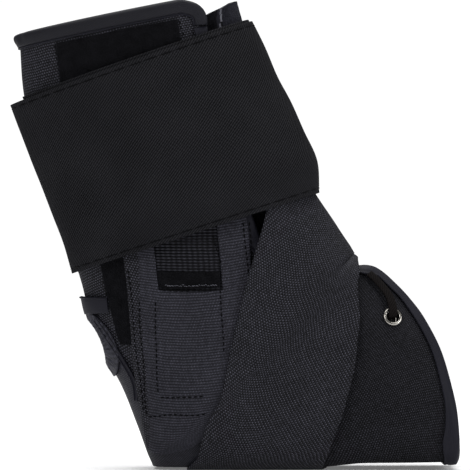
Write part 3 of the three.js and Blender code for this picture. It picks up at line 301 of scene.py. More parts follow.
@dataclass
class Loft:
    """A body through flat sections. A place is a row number u and a share v of half the girth.

    v is 0 at the front, 1 at the back, and negative on the near side.
    """

    rows: np.ndarray
    width: float
    floored: bool
    rows_per_station: int = 24
    around: int = 320
    overhang: float = 0.4

    def __post_init__(self) -> None:
        """Lay the body's points and normals out on a fine grid."""
        self.last = len(self.rows) - 1
        self.low_u = -self.overhang
        count = int(round((self.last + 2 * self.overhang) * self.rows_per_station)) + 1
        self.us = np.linspace(self.low_u, self.last + self.overhang, count)
        half = self.around // 2
        shares = np.linspace(0, 1, half + 1)
        points = np.zeros((count, self.around, 3))
        self.girths = np.zeros(count)
        middles = np.zeros((count, 3))
        for i, u in enumerate(self.us):
            section = self.section(u)
            along = np.interp(shares * section["girth"], section["lengths"], section["along"])
            across = np.interp(shares * section["girth"], section["lengths"], section["across"])
            x = section["middle"][0] + along * section["arm"][0]
            z = section["middle"][1] + along * section["arm"][1]
            y = across * section["half"]
            far = np.stack([x, y, z], 1)
            near = far * np.array([1, -1, 1])
            points[i, half:] = far[:half]
            points[i, 1:half + 1] = near[::-1][1:]
            points[i, 0] = far[half]
            self.girths[i] = section["girth"]
            middles[i] = (section["middle"][0], 0, section["middle"][1])
        self.points = points
        along_u = np.gradient(points, axis=0)
        along_v = np.roll(points, -1, 1) - np.roll(points, 1, 1)
        normals = np.cross(along_u, along_v)
        normals /= np.linalg.norm(normals, axis=2, keepdims=True) + 1e-12
        outward = ((points - middles[:, None]) * normals).sum(2, keepdims=True)
        self.normals = np.where(outward < 0, -normals, normals)

    def section(self, u: float) -> dict:
        """Points and lengths of one half section, from front to back.

        Args:
            u: row number.

        Returns:
            Middle, back end, half chord, half width, unit shape and girth.
        """
        front_x, front_z, back_x, back_z, width, front_power, back_power = smooth_rows(self.rows, np.array(u))
        front = np.array([side_x(front_x), side_z(front_z)])
        back = np.array([side_x(back_x), side_z(back_z)])
        arm = (front - back) / 2
        half = width * self.width / 2
        angle = np.linspace(0, math.pi, 161)
        cos = np.cos(angle)
        power = 2 / np.where(cos > 0, front_power, back_power)
        along = np.sign(cos) * np.abs(cos) ** power
        across = np.maximum(np.sin(angle), 0) ** power
        steps = np.hypot(np.diff(along) * np.linalg.norm(arm), np.diff(across) * half)
        lengths = np.concatenate([[0], np.cumsum(steps)])
        return {
            "middle": (front + back) / 2, "back": back, "arm": arm, "half": half,
            "along": along, "across": across, "lengths": lengths, "girth": lengths[-1],
        }

    def read(self, grid: np.ndarray, u: np.ndarray, v: np.ndarray) -> np.ndarray:
        """Interpolate a grid of the body at places u, v.

        Args:
            grid: a value for each point of the body's grid.
            u: row numbers.
            v: girth shares.

        Returns:
            The values there.
        """
        u, v = np.broadcast_arrays(np.asarray(u, float), np.asarray(v, float))
        row = np.clip((u - self.low_u) * self.rows_per_station, 0, len(self.us) - 1.001)
        column = ((v + 1) % 2) / 2 * self.around
        i, j = np.floor(row).astype(int), np.floor(column).astype(int) % self.around
        s, t = (row - i)[..., None], (column - np.floor(column))[..., None]
        k = (j + 1) % self.around
        low = grid[i, j] * (1 - t) + grid[i, k] * t
        high = grid[i + 1, j] * (1 - t) + grid[i + 1, k] * t
        return low * (1 - s) + high * s

    def girth(self, u: np.ndarray | float) -> np.ndarray | float:
        """Half the way round the body at a row."""
        return np.interp(u, self.us, self.girths)

    def raised(self, u: np.ndarray, v: np.ndarray, height: np.ndarray | float) -> np.ndarray:
        """Points at a height over the body, laid flat where they would reach the ground.

        Args:
            u: row numbers.
            v: girth shares.
            height: heights over the body, millimetres.

        Returns:
            Points in millimetres.
        """
        place = self.read(self.points, u, v)
        normal = self.read(self.normals, u, v)
        normal /= np.linalg.norm(normal, axis=-1, keepdims=True)
        height = np.broadcast_to(np.asarray(height, float), place.shape[:-1])
        return self.settle(place + normal * height[..., None], height)

    def settle(self, points: np.ndarray, height: np.ndarray) -> np.ndarray:
        """Lift points that lie under the sole's level for their height.

        Args:
            points: points in millimetres.
            height: height of each over the body.

        Returns:
            The points, none of them under its level.
        """
        if self.floored:
            rise = np.interp(points[..., 0] / LENGTH + 0.5, SOLE_LINE[:, 0], SOLE_LINE[:, 1]) * HEIGHT
            points[..., 2] = np.maximum(points[..., 2], SOLE_LEVEL + rise - height)
        return points

    def locate(self, x: float, z: float, side: int) -> tuple[float, float]:
        """Row and girth share of the place seen at shares x, z from one side.

        Args:
            x: share of the length.
            z: share of the height.
            side: -1 for the near side, 1 for the far side.

        Returns:
            The row number and the signed girth share.
        """
        seen = np.array([side_x(x), side_z(z)])

        def gap(u: float) -> float:
            """Side of the section's chord on which the place lies.

            Args:
                u: row number.

            Returns:
                Zero where the chord passes through the place.
            """
            section = self.section(u)
            d = seen - section["back"]
            return float(section["arm"][0] * d[1] - section["arm"][1] * d[0])

        scans = np.linspace(0, self.last, 4 * self.last + 1)
        gaps = [gap(u) for u in scans]
        low, high = 0.0, float(self.last)
        for a, b, ga, gb in zip(scans, scans[1:], gaps, gaps[1:]):
            if ga * gb <= 0:
                low, high = a, b
                break
        rising = gap(high) > gap(low)
        for _ in range(24):
            half = (low + high) / 2
            if (gap(half) > 0) == rising:
                high = half
            else:
                low = half
        u = (low + high) / 2
        section = self.section(u)
        share = (seen - section["middle"]) @ section["arm"] / (section["arm"] @ section["arm"])
        length = np.interp(-np.clip(share, -1, 1), -section["along"], section["lengths"])
        return u, side * float(length) / section["girth"]


def unwrapped(places: list[tuple[float, float]]) -> list[tuple[float, float]]:
    """Carry the girth share on past the front or the back, so that it never jumps.

    Args:
        places: row numbers and girth shares along a route.

    Returns:
        The places, with shares that run on.
    """
    result = [places[0]]
    for u, v in places[1:]:
        while v - result[-1][1] > 1:
            v -= 2
        while v - result[-1][1] < -1:
            v += 2
        result.append((u, v))
    return result


BOOT = Loft(BOOT_SECTIONS, BOOT_WIDTH, True)
CUFF_BODY = Loft(CUFF_SECTIONS, CUFF_WIDTH, False)
FRONT_PLACES = np.array([BOOT.locate(x, z, 1) for x, z in FRONT_EDGE] + TOE_CORNER)
FRONT_PLACES[0, 0] = 0.0


def even_route(places: np.ndarray, step: float, body: Loft = BOOT) -> np.ndarray:
    """Cut a smooth route through places into equal steps on a body.

    Args:
        places: rows of u and v.
        step: length of a step in millimetres.
        body: the body that the route lies on.

    Returns:
        Rows of u and v.
    """
    places = np.asarray(places, float)
    dense = smooth_rows(places, np.linspace(0, len(places) - 1, 24 * (len(places) - 1) + 1))
    line = body.read(body.points, dense[:, 0], dense[:, 1])
    lengths = distances(line)
    at = np.linspace(0, lengths[-1], max(int(round(lengths[-1] / step)), 2) + 1)
    return np.stack([np.interp(at, lengths, dense[:, 0]), np.interp(at, lengths, dense[:, 1])], 1)


FRONT_ROUTE = even_route(FRONT_PLACES, 1.0)


def front_share(u: np.ndarray | float) -> np.ndarray | float:
    """Girth share of a quarter's front edge at a row."""
    return np.interp(u, np.maximum.accumulate(FRONT_ROUTE[:, 0]), FRONT_ROUTE[:, 1])


def back_share(u: np.ndarray | float) -> np.ndarray | float:
    """Girth share at which a quarter ends at the back seam or the heel opening.

    Args:
        u: row numbers.

    Returns:
        Girth shares.
    """
    middle, reach = sum(HEEL_SLOT) / 2, (HEEL_SLOT[1] - HEEL_SLOT[0]) / 2
    inside = np.maximum(1 - ((np.asarray(u) - middle) / reach) ** 2, 0)
    return 1 - np.maximum(HEEL_SLOT_WIDTH / 2 * np.sqrt(inside), SEAM_HALF_GAP) / BOOT.girth(u)


@dataclass(frozen=True)
class EdgeLine:
    """A route along the edge of a cloth, with the directions needed to lay tape over it."""

    places: np.ndarray
    inward: Inward
    closed: bool = False

    def laid(self, width: np.ndarray, height: np.ndarray, body: Loft = BOOT) -> np.ndarray:
        """Points beside the route.

        Args:
            width: distances into the cloth in millimetres; below zero is out past the edge.
            height: heights over the body in millimetres, one for each width.
            body: the body that the route lies on.

        Returns:
            Points with a row for each place of the route and a column for each width.
        """
        u, v = self.places[:, 0], self.places[:, 1]
        edge = body.read(body.points, u, v)
        along_u = (body.read(body.points, u + 0.03, v) - body.read(body.points, u - 0.03, v)) / 0.06
        along_v = (body.read(body.points, u, v + 0.012) - body.read(body.points, u, v - 0.012)) / 0.024
        normal = body.read(body.normals, u, v)
        if self.closed:
            run = np.roll(edge, -2, 0) - np.roll(edge, 2, 0)
        else:
            after = edge[np.minimum(np.arange(len(edge)) + 2, len(edge) - 1)]
            run = after - edge[np.maximum(np.arange(len(edge)) - 2, 0)]
        inside = np.cross(normal, run)
        inside *= self.inward.value / np.linalg.norm(inside, axis=1, keepdims=True)
        uu, uv, vv = (along_u**2).sum(1), (along_u * along_v).sum(1), (along_v**2).sum(1)
        on_u, on_v = (along_u * inside).sum(1), (along_v * inside).sum(1)
        scale = uu * vv - uv * uv
        du, dv = (on_u * vv - on_v * uv) / scale, (on_v * uu - on_u * uv) / scale
        width = np.broadcast_to(width, (len(u), np.shape(width)[-1]))
        height = np.broadcast_to(height, width.shape)
        onto = body.raised(u[:, None] + du[:, None] * width, v[:, None] + dv[:, None] * width, height)
        out = edge[:, None] + inside[:, None] * width[..., None] + normal[:, None] * height[..., None]
        out = body.settle(out, height)
        return np.where((width <= 0)[..., None], out, onto)


def build_object(name: str, points: np.ndarray, faces: list, uv: np.ndarray | None) -> bpy.types.Object:
    """Make a smooth mesh object from points in millimetres.

    Args:
        name: the piece's name.
        points: vertices, millimetres.
        faces: vertex numbers of each face.
        uv: one pair per vertex, in millimetres along the cloth, or None.

    Returns:
        The new object, linked to the scene.
    """
    mesh = bpy.data.meshes.new(name)
    mesh.from_pydata(((points + FRAME_SHIFT) * 0.001).tolist(), [], faces)
    mesh.validate(clean_customdata=False)
    if uv is not None:
        layer = mesh.uv_layers.new(name="cloth_mm")
        loops = np.zeros(len(mesh.loops), int)
        mesh.loops.foreach_get("vertex_index", loops)
        layer.data.foreach_set("uv", uv[loops].astype(np.float32).ravel())
    mesh.polygons.foreach_set("use_smooth", np.ones(len(mesh.polygons), bool))
    mesh.update()
    made = bpy.data.objects.new(name, mesh)
    bpy.context.scene.collection.objects.link(made)
    return made


def turned_out(points: np.ndarray, faces: np.ndarray) -> np.ndarray:
    """Reverse the faces of a closed mesh where they point in.

    Args:
        points: vertices.
        faces: vertex numbers, all triangles or all quads.

    Returns:
        The faces, pointing out.
    """
    tri = points[faces[:, :3]]
    volume = np.einsum("ij,ij->i", tri[:, 0], np.cross(tri[:, 1], tri[:, 2])).sum()
    if faces.shape[1] == 4:
        tri = points[faces[:, [0, 2, 3]]]
        volume += np.einsum("ij,ij->i", tri[:, 0], np.cross(tri[:, 1], tri[:, 2])).sum()
    return faces[:, ::-1] if volume < 0 else faces


def cloth_uv(outer: np.ndarray) -> np.ndarray:
    """Millimetres along and across a grid of cloth, measured on its middle row and column.

    Args:
        outer: grid of points on the cloth.

    Returns:
        Two distances for each point.
    """
    n, m = outer.shape[:2]
    across = np.linalg.norm(np.diff(outer, axis=1), axis=2)
    down = np.linalg.norm(np.diff(outer, axis=0), axis=2)
    x = np.concatenate([np.zeros((n, 1)), np.cumsum(across, 1)], 1)
    x -= x[:, [m // 2]]
    y = np.concatenate([np.zeros((1, m)), np.cumsum(down, 0)], 0)
    y -= y[[n // 2], :]
    return np.stack([x, y], 2)


def cloth_piece(
    name: str, outer: np.ndarray, inner: np.ndarray, uv: np.ndarray | None = None,
    opened: np.ndarray | None = None,
) -> bpy.types.Object:
    """Make a closed sheet from its outer and inner faces, with rounded cut edges.

    Args:
        name: the piece's name.
        outer: grid of points on the outer face.
        inner: grid of points on the inner face.
        uv: millimetres along the cloth for each grid point, or None to measure them.
        opened: which cells of the grid are left out, or None.

    Returns:
        The new object.
    """
    n, m = outer.shape[:2]
    uv = cloth_uv(outer) if uv is None else uv
    middle = (outer + inner) / 2
    number = np.arange(n * m).reshape(n, m)
    cells = np.ones((n - 1, m - 1), bool) if opened is None else ~opened
    a, b, c, d = number[:-1, :-1], number[1:, :-1], number[1:, 1:], number[:-1, 1:]
    top = np.stack([a, b, c, d], 2)[cells]
    faces = [top, top[:, ::-1] + n * m]
    padded = np.pad(cells, 1)
    edges = []
    for shift, start, end in (((-1, 0), a, d), ((1, 0), c, b), ((0, -1), b, a), ((0, 1), d, c)):
        beside = padded[1 + shift[0]:n + shift[0], 1 + shift[1]:m + shift[1]]
        rim = cells & ~beside
        edges.append(np.stack([start[rim], end[rim]], 1))
    edge = np.concatenate(edges)
    rim_at = np.full(n * m, -1)
    rim_points = np.unique(edge)
    rim_at[rim_points] = np.arange(len(rim_points)) + 2 * n * m
    over, under = edge, edge + n * m
    mid = rim_at[edge]
    faces.append(np.stack([over[:, 0], over[:, 1], mid[:, 1], mid[:, 0]], 1))
    faces.append(np.stack([mid[:, 0], mid[:, 1], under[:, 1], under[:, 0]], 1))
    flat_outer, flat_inner, flat_middle = outer.reshape(-1, 3), inner.reshape(-1, 3), middle.reshape(-1, 3)
    points = np.concatenate([flat_outer, flat_inner, flat_middle[rim_points]])
    flat_uv = uv.reshape(-1, 2)
    all_uv = np.concatenate([flat_uv, flat_uv, flat_uv[rim_points]])
    quads = np.concatenate(faces)
    used = np.unique(quads)
    renumber = np.full(len(points), -1)
    renumber[used] = np.arange(len(used))
    quads = turned_out(points[used], renumber[quads])
    return build_object(name, points[used], quads.tolist(), all_uv[used])


def swept_piece(name: str, rings: np.ndarray, closed: bool) -> bpy.types.Object:
    """Make a closed tube from rings of points.

    Args:
        name: the piece's name.
        rings: points, a row for each ring.
        closed: whether the last ring joins the first.

    Returns:
        The new object.
    """
    n, m = rings.shape[:2]
    i = np.arange(n if closed else n - 1)[:, None]
    j = np.arange(m)[None, :]
    here, there = i * m, ((i + 1) % n) * m
    k = (j + 1) % m
    quads = np.stack(np.broadcast_arrays(here + j, there + j, there + k, here + k), 2).reshape(-1, 4)
    points = rings.reshape(-1, 3)
    flipped = turned_out(points, quads)
    faces = flipped.tolist()
    if not closed:
        reverse = not np.array_equal(flipped, quads)
        first, last = list(range(m)), list(range((n - 1) * m, n * m))
        faces.append(first[::-1] if reverse else first)
        faces.append(last if reverse else last[::-1])
    lengths = distances(rings[:, 0])
    around = distances(rings[0])
    uv = np.stack(np.broadcast_arrays(around[None, :], lengths[:, None]), 2).reshape(-1, 2)
    return build_object(name, points, faces, uv)


def add_node(tree: bpy.types.NodeTree, kind: str, settings: dict, inputs: dict) -> bpy.types.Node:
    """Add one shader node with its settings and links.

    Args:
        tree: the node tree.
        kind: the node's Blender type.
        settings: attributes of the node.
        inputs: socket name or number to a value, or to the output socket that feeds it.

    Returns:
        The node.
    """
    made = tree.nodes.new(kind)
    for name, value in settings.items():
        setattr(made, name, value)
    for name, value in inputs.items():
        socket = made.inputs[name]
        if isinstance(value, bpy.types.NodeSocket):
            tree.links.new(value, socket)
        else:
            socket.default_value = value
    return made


@dataclass(frozen=True)
class Finish:
    """A finish of the brace: its name, a slot name and its look.

    dark and light are its colours, and low and high the reliefs, 0 to 1, at which each of them is reached.
    """

    name: str
    slot: str
    dark: str
    light: str
    roughness: float
    sheen: float
    bump_mm: float
    gloss: float = 0.15
    low: float = 0.0
    high: float = 1.0

    def height(self, tree: bpy.types.NodeTree, cloth: bpy.types.NodeSocket) -> bpy.types.NodeSocket:
        """Relief of the surface, from 0 to 1; each finish makes its own."""
        raise NotImplementedError

    def material(self) -> bpy.types.Material:
        """Build the finish as a Blender material, once.

        Returns:
            The material.
        """
        known = bpy.data.materials.get(self.name)
        if known:
            return known
        made = bpy.data.materials.new(self.name)
        made.use_nodes = True
        tree = made.node_tree
        tree.nodes.clear()
        cloth = add_node(tree, "ShaderNodeUVMap", {"uv_map": "cloth_mm"}, {}).outputs["UV"]
        place = add_node(tree, "ShaderNodeTexCoord", {}, {}).outputs["Object"]
        height = self.height(tree, cloth)
        wear = add_node(tree, "ShaderNodeTexNoise", {}, {"Vector": place, "Scale": 38.0, "Detail": 5.0})
        shade = add_node(tree, "ShaderNodeMapRange", {}, {"Value": wear.outputs["Fac"], "From Min": 0.3,
                                                         "From Max": 0.7, "To Min": -0.05, "To Max": 0.05})
        mixed = add_node(tree, "ShaderNodeMath", {"operation": "ADD", "use_clamp": True},
                         {0: height, 1: shade.outputs["Result"]})
        ramp = add_node(tree, "ShaderNodeValToRGB", {}, {"Fac": mixed.outputs[0]})
        stops = zip(ramp.color_ramp.elements, (self.low, self.high), (self.dark, self.light))
        for stop, position, colour in stops:
            stop.position, stop.color = position, to_linear(colour)
        rough = add_node(tree, "ShaderNodeMapRange", {}, {"Value": mixed.outputs[0],
                                                         "To Min": min(self.roughness + 0.12, 1.0),
                                                         "To Max": self.roughness})
        bump = add_node(tree, "ShaderNodeBump", {}, {"Height": height, "Strength": 1.0,
                                                    "Distance": self.bump_mm * 0.001})
        body = add_node(tree, "ShaderNodeBsdfPrincipled", {}, {
            "Base Color": ramp.outputs["Color"], "Roughness": rough.outputs["Result"],
            "Normal": bump.outputs["Normal"], "IOR": 1.53, "Specular IOR Level": self.gloss,
            "Sheen Weight": self.sheen,
            "Sheen Roughness": 0.45, "Sheen Tint": to_linear("c9cbe0")})
        add_node(tree, "ShaderNodeOutputMaterial", {}, {"Surface": body.outputs["BSDF"]})
        return made


@dataclass(frozen=True)
class BasketWeave(Finish):
    """Ballistic nylon, woven two by two from heavy filament: a grid of small raised floats, each painted
    light as a glint on near black.
    """

    pitch_mm: float = 1.62
    row_mm: float = 1.40
    # Height of the other thread set, which also paints it dim, as it takes no painted glint
    sunk_and_painted_dim: float = 0.30

    def height(self, tree: bpy.types.NodeTree, cloth: bpy.types.NodeSocket) -> bpy.types.NodeSocket:
        """Floats of one thread set, offset by half a pitch from row to row, over the lower other set; the
        relief also sets the colour, so the floats carry painted glints and the other set is painted dim.

        Args:
            tree: the material's node tree.
            cloth: millimetres along the cloth.

        Returns:
            The relief, 0 to 1.
        """
        half = self.pitch_mm / 2
        sway = add_node(tree, "ShaderNodeTexNoise", {"noise_dimensions": "2D"},
                        {"Vector": cloth, "Scale": 0.12, "Detail": 2.0}).outputs["Color"]
        shift = add_node(tree, "ShaderNodeVectorMath", {"operation": "MULTIPLY_ADD"},
                         {0: sway, 1: (0.9, 0.9, 0.0), 2: cloth}).outputs[0]
        cells = add_node(tree, "ShaderNodeVectorMath", {"operation": "MULTIPLY"},
                         {0: shift, 1: (1 / half, 1 / self.row_mm, 0.0)}).outputs[0]
        scale, phase = math.pi / 10, -math.pi / 2
        warp = add_node(tree, "ShaderNodeTexWave", {"bands_direction": "X"},
                        {"Vector": cells, "Scale": scale, "Phase Offset": phase}).outputs["Fac"]
        weft = add_node(tree, "ShaderNodeTexWave", {"bands_direction": "Y"},
                        {"Vector": cells, "Scale": scale, "Phase Offset": phase}).outputs["Fac"]
        parity = add_node(tree, "ShaderNodeTexChecker", {}, {
            "Vector": cells, "Scale": 1.0, "Color1": (1, 1, 1, 1), "Color2": (0, 0, 0, 1)})
        warp_crown = add_node(tree, "ShaderNodeMath", {"operation": "POWER"}, {0: warp, 1: 0.5})
        weft_crown = add_node(tree, "ShaderNodeMath", {"operation": "POWER"}, {0: weft, 1: 0.7})
        crown = add_node(tree, "ShaderNodeMath", {"operation": "MULTIPLY"},
                         {0: warp_crown.outputs[0], 1: weft_crown.outputs[0]})
        level = add_node(tree, "ShaderNodeMapRange", {}, {"Value": parity.outputs["Fac"],
                                                         "To Min": self.sunk_and_painted_dim, "To Max": 1.0})
        yarn = add_node(tree, "ShaderNodeTexNoise", {}, {"Vector": cells, "Scale": 0.35, "Detail": 3.0})
        spread = add_node(tree, "ShaderNodeMapRange", {}, {"Value": yarn.outputs["Fac"], "From Min": 0.3,
                                                          "From Max": 0.7, "To Min": 0.55, "To Max": 1.2})
        float_height = add_node(tree, "ShaderNodeMath", {"operation": "MULTIPLY"},
                                {0: crown.outputs[0], 1: level.outputs["Result"]})
        return add_node(tree, "ShaderNodeMath", {"operation": "MULTIPLY", "use_clamp": True},
                        {0: float_height.outputs[0], 1: spread.outputs["Result"]}).outputs[0]


@dataclass(frozen=True)
class RibKnit(Finish):
    """Knitted or woven ribs that run one way over the cloth."""

    pitch_mm: float = 1.3
    slant: float = 0.0
    grain: float = 0.5
    crossed: float = 0.0

    def height(self, tree: bpy.types.NodeTree, cloth: bpy.types.NodeSocket) -> bpy.types.NodeSocket:
        """Rounded ribs with a fine uneven grain.

        Args:
            tree: the material's node tree.
            cloth: millimetres along the cloth.

        Returns:
            The relief, 0 to 1.
        """
        turned = add_node(tree, "ShaderNodeMapping", {}, {"Vector": cloth, "Rotation": (0, 0, self.slant)})
        rib = add_node(tree, "ShaderNodeTexWave", {"bands_direction": "Y"}, {
            "Vector": turned.outputs["Vector"], "Scale": math.pi / 10 / self.pitch_mm,
            "Distortion": 1.2, "Detail": 2.0, "Detail Scale": 1.6}).outputs["Fac"]
        beads = add_node(tree, "ShaderNodeTexWave", {"bands_direction": "X"}, {
            "Vector": turned.outputs["Vector"], "Scale": math.pi / 16 / self.pitch_mm,
            "Distortion": 2.0, "Detail": 2.0, "Detail Scale": 1.6}).outputs["Fac"]
        share = add_node(tree, "ShaderNodeMapRange", {}, {"Value": beads, "To Min": 1.0 - self.crossed})
        broken = add_node(tree, "ShaderNodeMath", {"operation": "MULTIPLY"},
                          {0: rib, 1: share.outputs["Result"]})
        noise = add_node(tree, "ShaderNodeTexNoise", {}, {"Vector": cloth, "Scale": 1.4, "Detail": 4.0})
        return add_node(tree, "ShaderNodeMix", {"data_type": "FLOAT"}, {
            0: self.grain, 2: broken.outputs[0], 3: noise.outputs["Fac"]}).outputs[0]


@dataclass(frozen=True)
class BrushedPile(Finish):
    """Brushed loop pile: a dull, slightly clotted nap with stray light fibres."""

    nap_mm: float = 0.9

    def height(self, tree: bpy.types.NodeTree, cloth: bpy.types.NodeSocket) -> bpy.types.NodeSocket:
        """Clotted nap from two noises.

        Args:
            tree: the material's node tree.
            cloth: millimetres along the cloth.

        Returns:
            The relief, 0 to 1.
        """
        fine = add_node(tree, "ShaderNodeTexNoise", {}, {"Vector": cloth, "Scale": 1 / self.nap_mm,
                                                        "Detail": 6.0, "Roughness": 0.7}).outputs["Fac"]
        clots = add_node(tree, "ShaderNodeTexNoise", {}, {"Vector": cloth, "Scale": 0.18, "Detail": 2.0})
        both = add_node(tree, "ShaderNodeMix", {"data_type": "FLOAT"}, {0: 0.35, 2: fine,
                                                                       3: clots.outputs["Fac"]})
        return add_node(tree, "ShaderNodeMapRange", {}, {"Value": both.outputs[0], "From Min": 0.35,
                                                        "From Max": 0.72}).outputs["Result"]


@dataclass(frozen=True)
class PlatedRing(Finish):
    """Nickel plate on stamped brass: bright, with faint rubbing marks."""

    def height(self, tree: bpy.types.NodeTree, cloth: bpy.types.NodeSocket) -> bpy.types.NodeSocket:
        """Faint rubbing marks."""
        return add_node(tree, "ShaderNodeTexNoise", {}, {"Vector": cloth, "Scale": 2.5,
                                                        "Detail": 4.0}).outputs["Fac"]

    def material(self) -> bpy.types.Material:
        """Build the plate as a metal.

        Returns:
            The material.
        """
        made = super().material()
        body = next(n for n in made.node_tree.nodes if n.type == "BSDF_PRINCIPLED")
        body.inputs["Metallic"].default_value = 1.0
        body.inputs["IOR"].default_value = 1.5
        body.inputs["Sheen Weight"].default_value = 0.0
        return made


# 1680 denier nylon: floats 1.6 mm apart in rows 1.4 mm apart, each row half a pitch over from the last, the
#                    floats painted light as glints
QUARTER_WEAVE = BasketWeave("quarter_ballistic_nylon", "nylon_weave", "0a0a0d", "585863", 0.55, 0.0, 0.30,
                            0.10, 0.10, 0.95)
# The panel is cut with its thick threads level, so its floats run together into ribs
PANEL_WEAVE = BasketWeave("panel_ballistic_nylon", "nylon_weave", "17171c", "4c4c57", 0.55, 0.0, 0.30, 0.10,
                          0.10, 1.0, sunk_and_painted_dim=0.62, row_mm=1.55)
# The front part of the quarters is cut across the bright threads and shows only short glints; its darker
# colours are partly painted shade, for the recessed forefoot
FINE_WEAVE_PAINTED_SHADE = BasketWeave("forefoot_nylon_painted_shade", "nylon_weave", "060608", "3d3d45", 0.60, 0.0, 0.28, 0.08,
                         0.12, 0.9, pitch_mm=1.55, row_mm=1.2, sunk_and_painted_dim=0.3)
# Finer nylon of the heel: threads 0.6 mm apart, drawn at 1.1 mm so that they show
HEEL_WEAVE = BasketWeave("heel_fine_nylon", "nylon_weave", "111116", "3c3c46", 0.52, 0.0, 0.15, 0.14,
                         pitch_mm=1.15, row_mm=0.9, sunk_and_painted_dim=0.5)
STRAP_WEAVE = BasketWeave("strap_ballistic_nylon", "strap_weave", "0b0b0e", "565661", 0.52, 0.0, 0.32, 0.10,
                          0.10, 0.95, pitch_mm=1.62, row_mm=1.38, sunk_and_painted_dim=0.2)
# Woven elastic: fine slanting ribs broken into short stitches, near black
ELASTIC_RIBS = RibKnit("cuff_woven_elastic", "elastic_knit", "040405", "2a2a2d", 0.78, 0.0, 0.18, 0.035,
                       0.17, 0.80, pitch_mm=1.2, slant=0.62, grain=0.46, crossed=0.35)
# Cover cord tape of the stay: ribs across
STAY_RIBS = RibKnit("stay_ribbed_tape", "ribbed_tape", "040405", "36363d", 0.66, 0.0, 0.25, 0.07,
                    0.2, 0.9, pitch_mm=STAY_PITCH, grain=0.40, crossed=0.7)
# Warp knit tricot tape: smooth, with a bluish bloom; its 0.4 mm ribs are drawn at 0.9 mm so that they show
TRICOT = RibKnit("binding_tricot_tape", "tricot_tape", "0d0d12", "1e1e27", 0.55, 0.01, 0.05, 0.11,
                 pitch_mm=0.9, slant=1.571, grain=0.7)
# The same tape on the collar, dulled by wear
COLLAR_TRICOT = RibKnit("collar_tricot_tape", "tricot_tape", "0b0b0e", "24242b", 0.55, 0.02, 0.10, 0.12,
                        0.2, 0.9, pitch_mm=1.1, slant=1.2, grain=0.8)
# The same tape where it is gathered round the heel opening
WRINKLED_TRICOT = RibKnit("heel_gathered_tricot", "tricot_tape", "09090c", "363642", 0.50, 0.03, 0.45, 0.15,
                          0.28, 0.82, pitch_mm=2.6, slant=0.9, grain=0.85)
# Brushed loop pile: no gloss, so it stays the darkest cloth, with a clotted nap
LOOP_NAP = BrushedPile("loop_field_brushed_pile", "loop_pile", "050506", "161619", 0.9, 0.03, 0.5, 0.04)
TONGUE_NAP = BrushedPile("tongue_brushed_tricot", "loop_pile", "08080a", "1b1b1f", 0.88, 0.04, 0.5, 0.06,
                         nap_mm=1.2)
# The tongue's outer face catches more light where it stands out of the cuff
TONGUE_FACE = BrushedPile("tongue_face_brushed_tricot", "loop_pile", "0a0a0d", "2c2c35", 0.85, 0.08,
                          0.6, 0.08)
# Flat braided polyester: dull and near black
LACE_BRAID = RibKnit("lace_flat_braid", "lace_braid", "050404", "120e0e", 0.70, 0.0, 0.25, 0.06,
                     pitch_mm=1.3, slant=0.8, grain=0.25)
# Bonded nylon thread, the darkest line on the nylon: its near black colour also stands as painted shade for
# the stitch furrows
THREAD_AND_FURROW_SHADE = RibKnit("seam_bonded_thread", "nylon_weave", "020203", "0b0b0d", 0.60, 0.0, 0.05, 0.05,
                 pitch_mm=0.6, slant=0.5, grain=0.3)
# Cut ends of nylon thread: pale where the light catches single fibres
FRAY = RibKnit("frayed_nylon_ends", "nylon_weave", "35353c", "6c6c76", 0.5, 0.1, 0.02, 0.3,
               pitch_mm=0.6, slant=0.5, grain=0.3)
# Nickel plate on stamped brass: bright, but mostly mirroring the dark cloth round it
NICKEL = PlatedRing("eyelet_nickel_plate", "nickel", "7f7c77", "b5b2ac", 0.16, 0.0, 0.01, 0.5)


def face_centres(piece: bpy.types.Object) -> np.ndarray:
    """Middle of each face of a piece, in millimetres.

    Args:
        piece: the object.

    Returns:
        One point for each face.
    """
    centres = np.zeros(len(piece.data.polygons) * 3)
    piece.data.polygons.foreach_get("center", centres)
    return centres.reshape(-1, 3) * 1000 - FRAME_SHIFT


def dress_regions(piece: bpy.types.Object, regions: list[tuple[Finish, np.ndarray]]) -> None:
    """Give some faces of a dressed piece finishes of their own.

    Args:
        piece: the object.
        regions: each finish with a mask of the faces that take it.
    """
    index = np.zeros(len(piece.data.polygons), np.int32)
    for finish, mask in regions:
        piece.data.materials.append(finish.material())
        index[mask] = len(piece.data.materials) - 1
    piece.data.polygons.foreach_set("material_index", index)


def dress(piece: bpy.types.Object, finish: Finish, *nodes: str) -> bpy.types.Object:
    """Give a piece its finish, seat it on the brace and let it stand for CAD nodes.

    Args:
        piece: the object.
        finish: its finish.
        nodes: names of the CAD nodes that it replaces.

    Returns:
        The same object.
    """
    piece.data.materials.clear()
    piece.data.materials.append(finish.material())
    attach(piece, "root")
    if nodes:
        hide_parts(*nodes)
    LOG.info("%s: %d faces", piece.name, len(piece.data.polygons))
    return piece


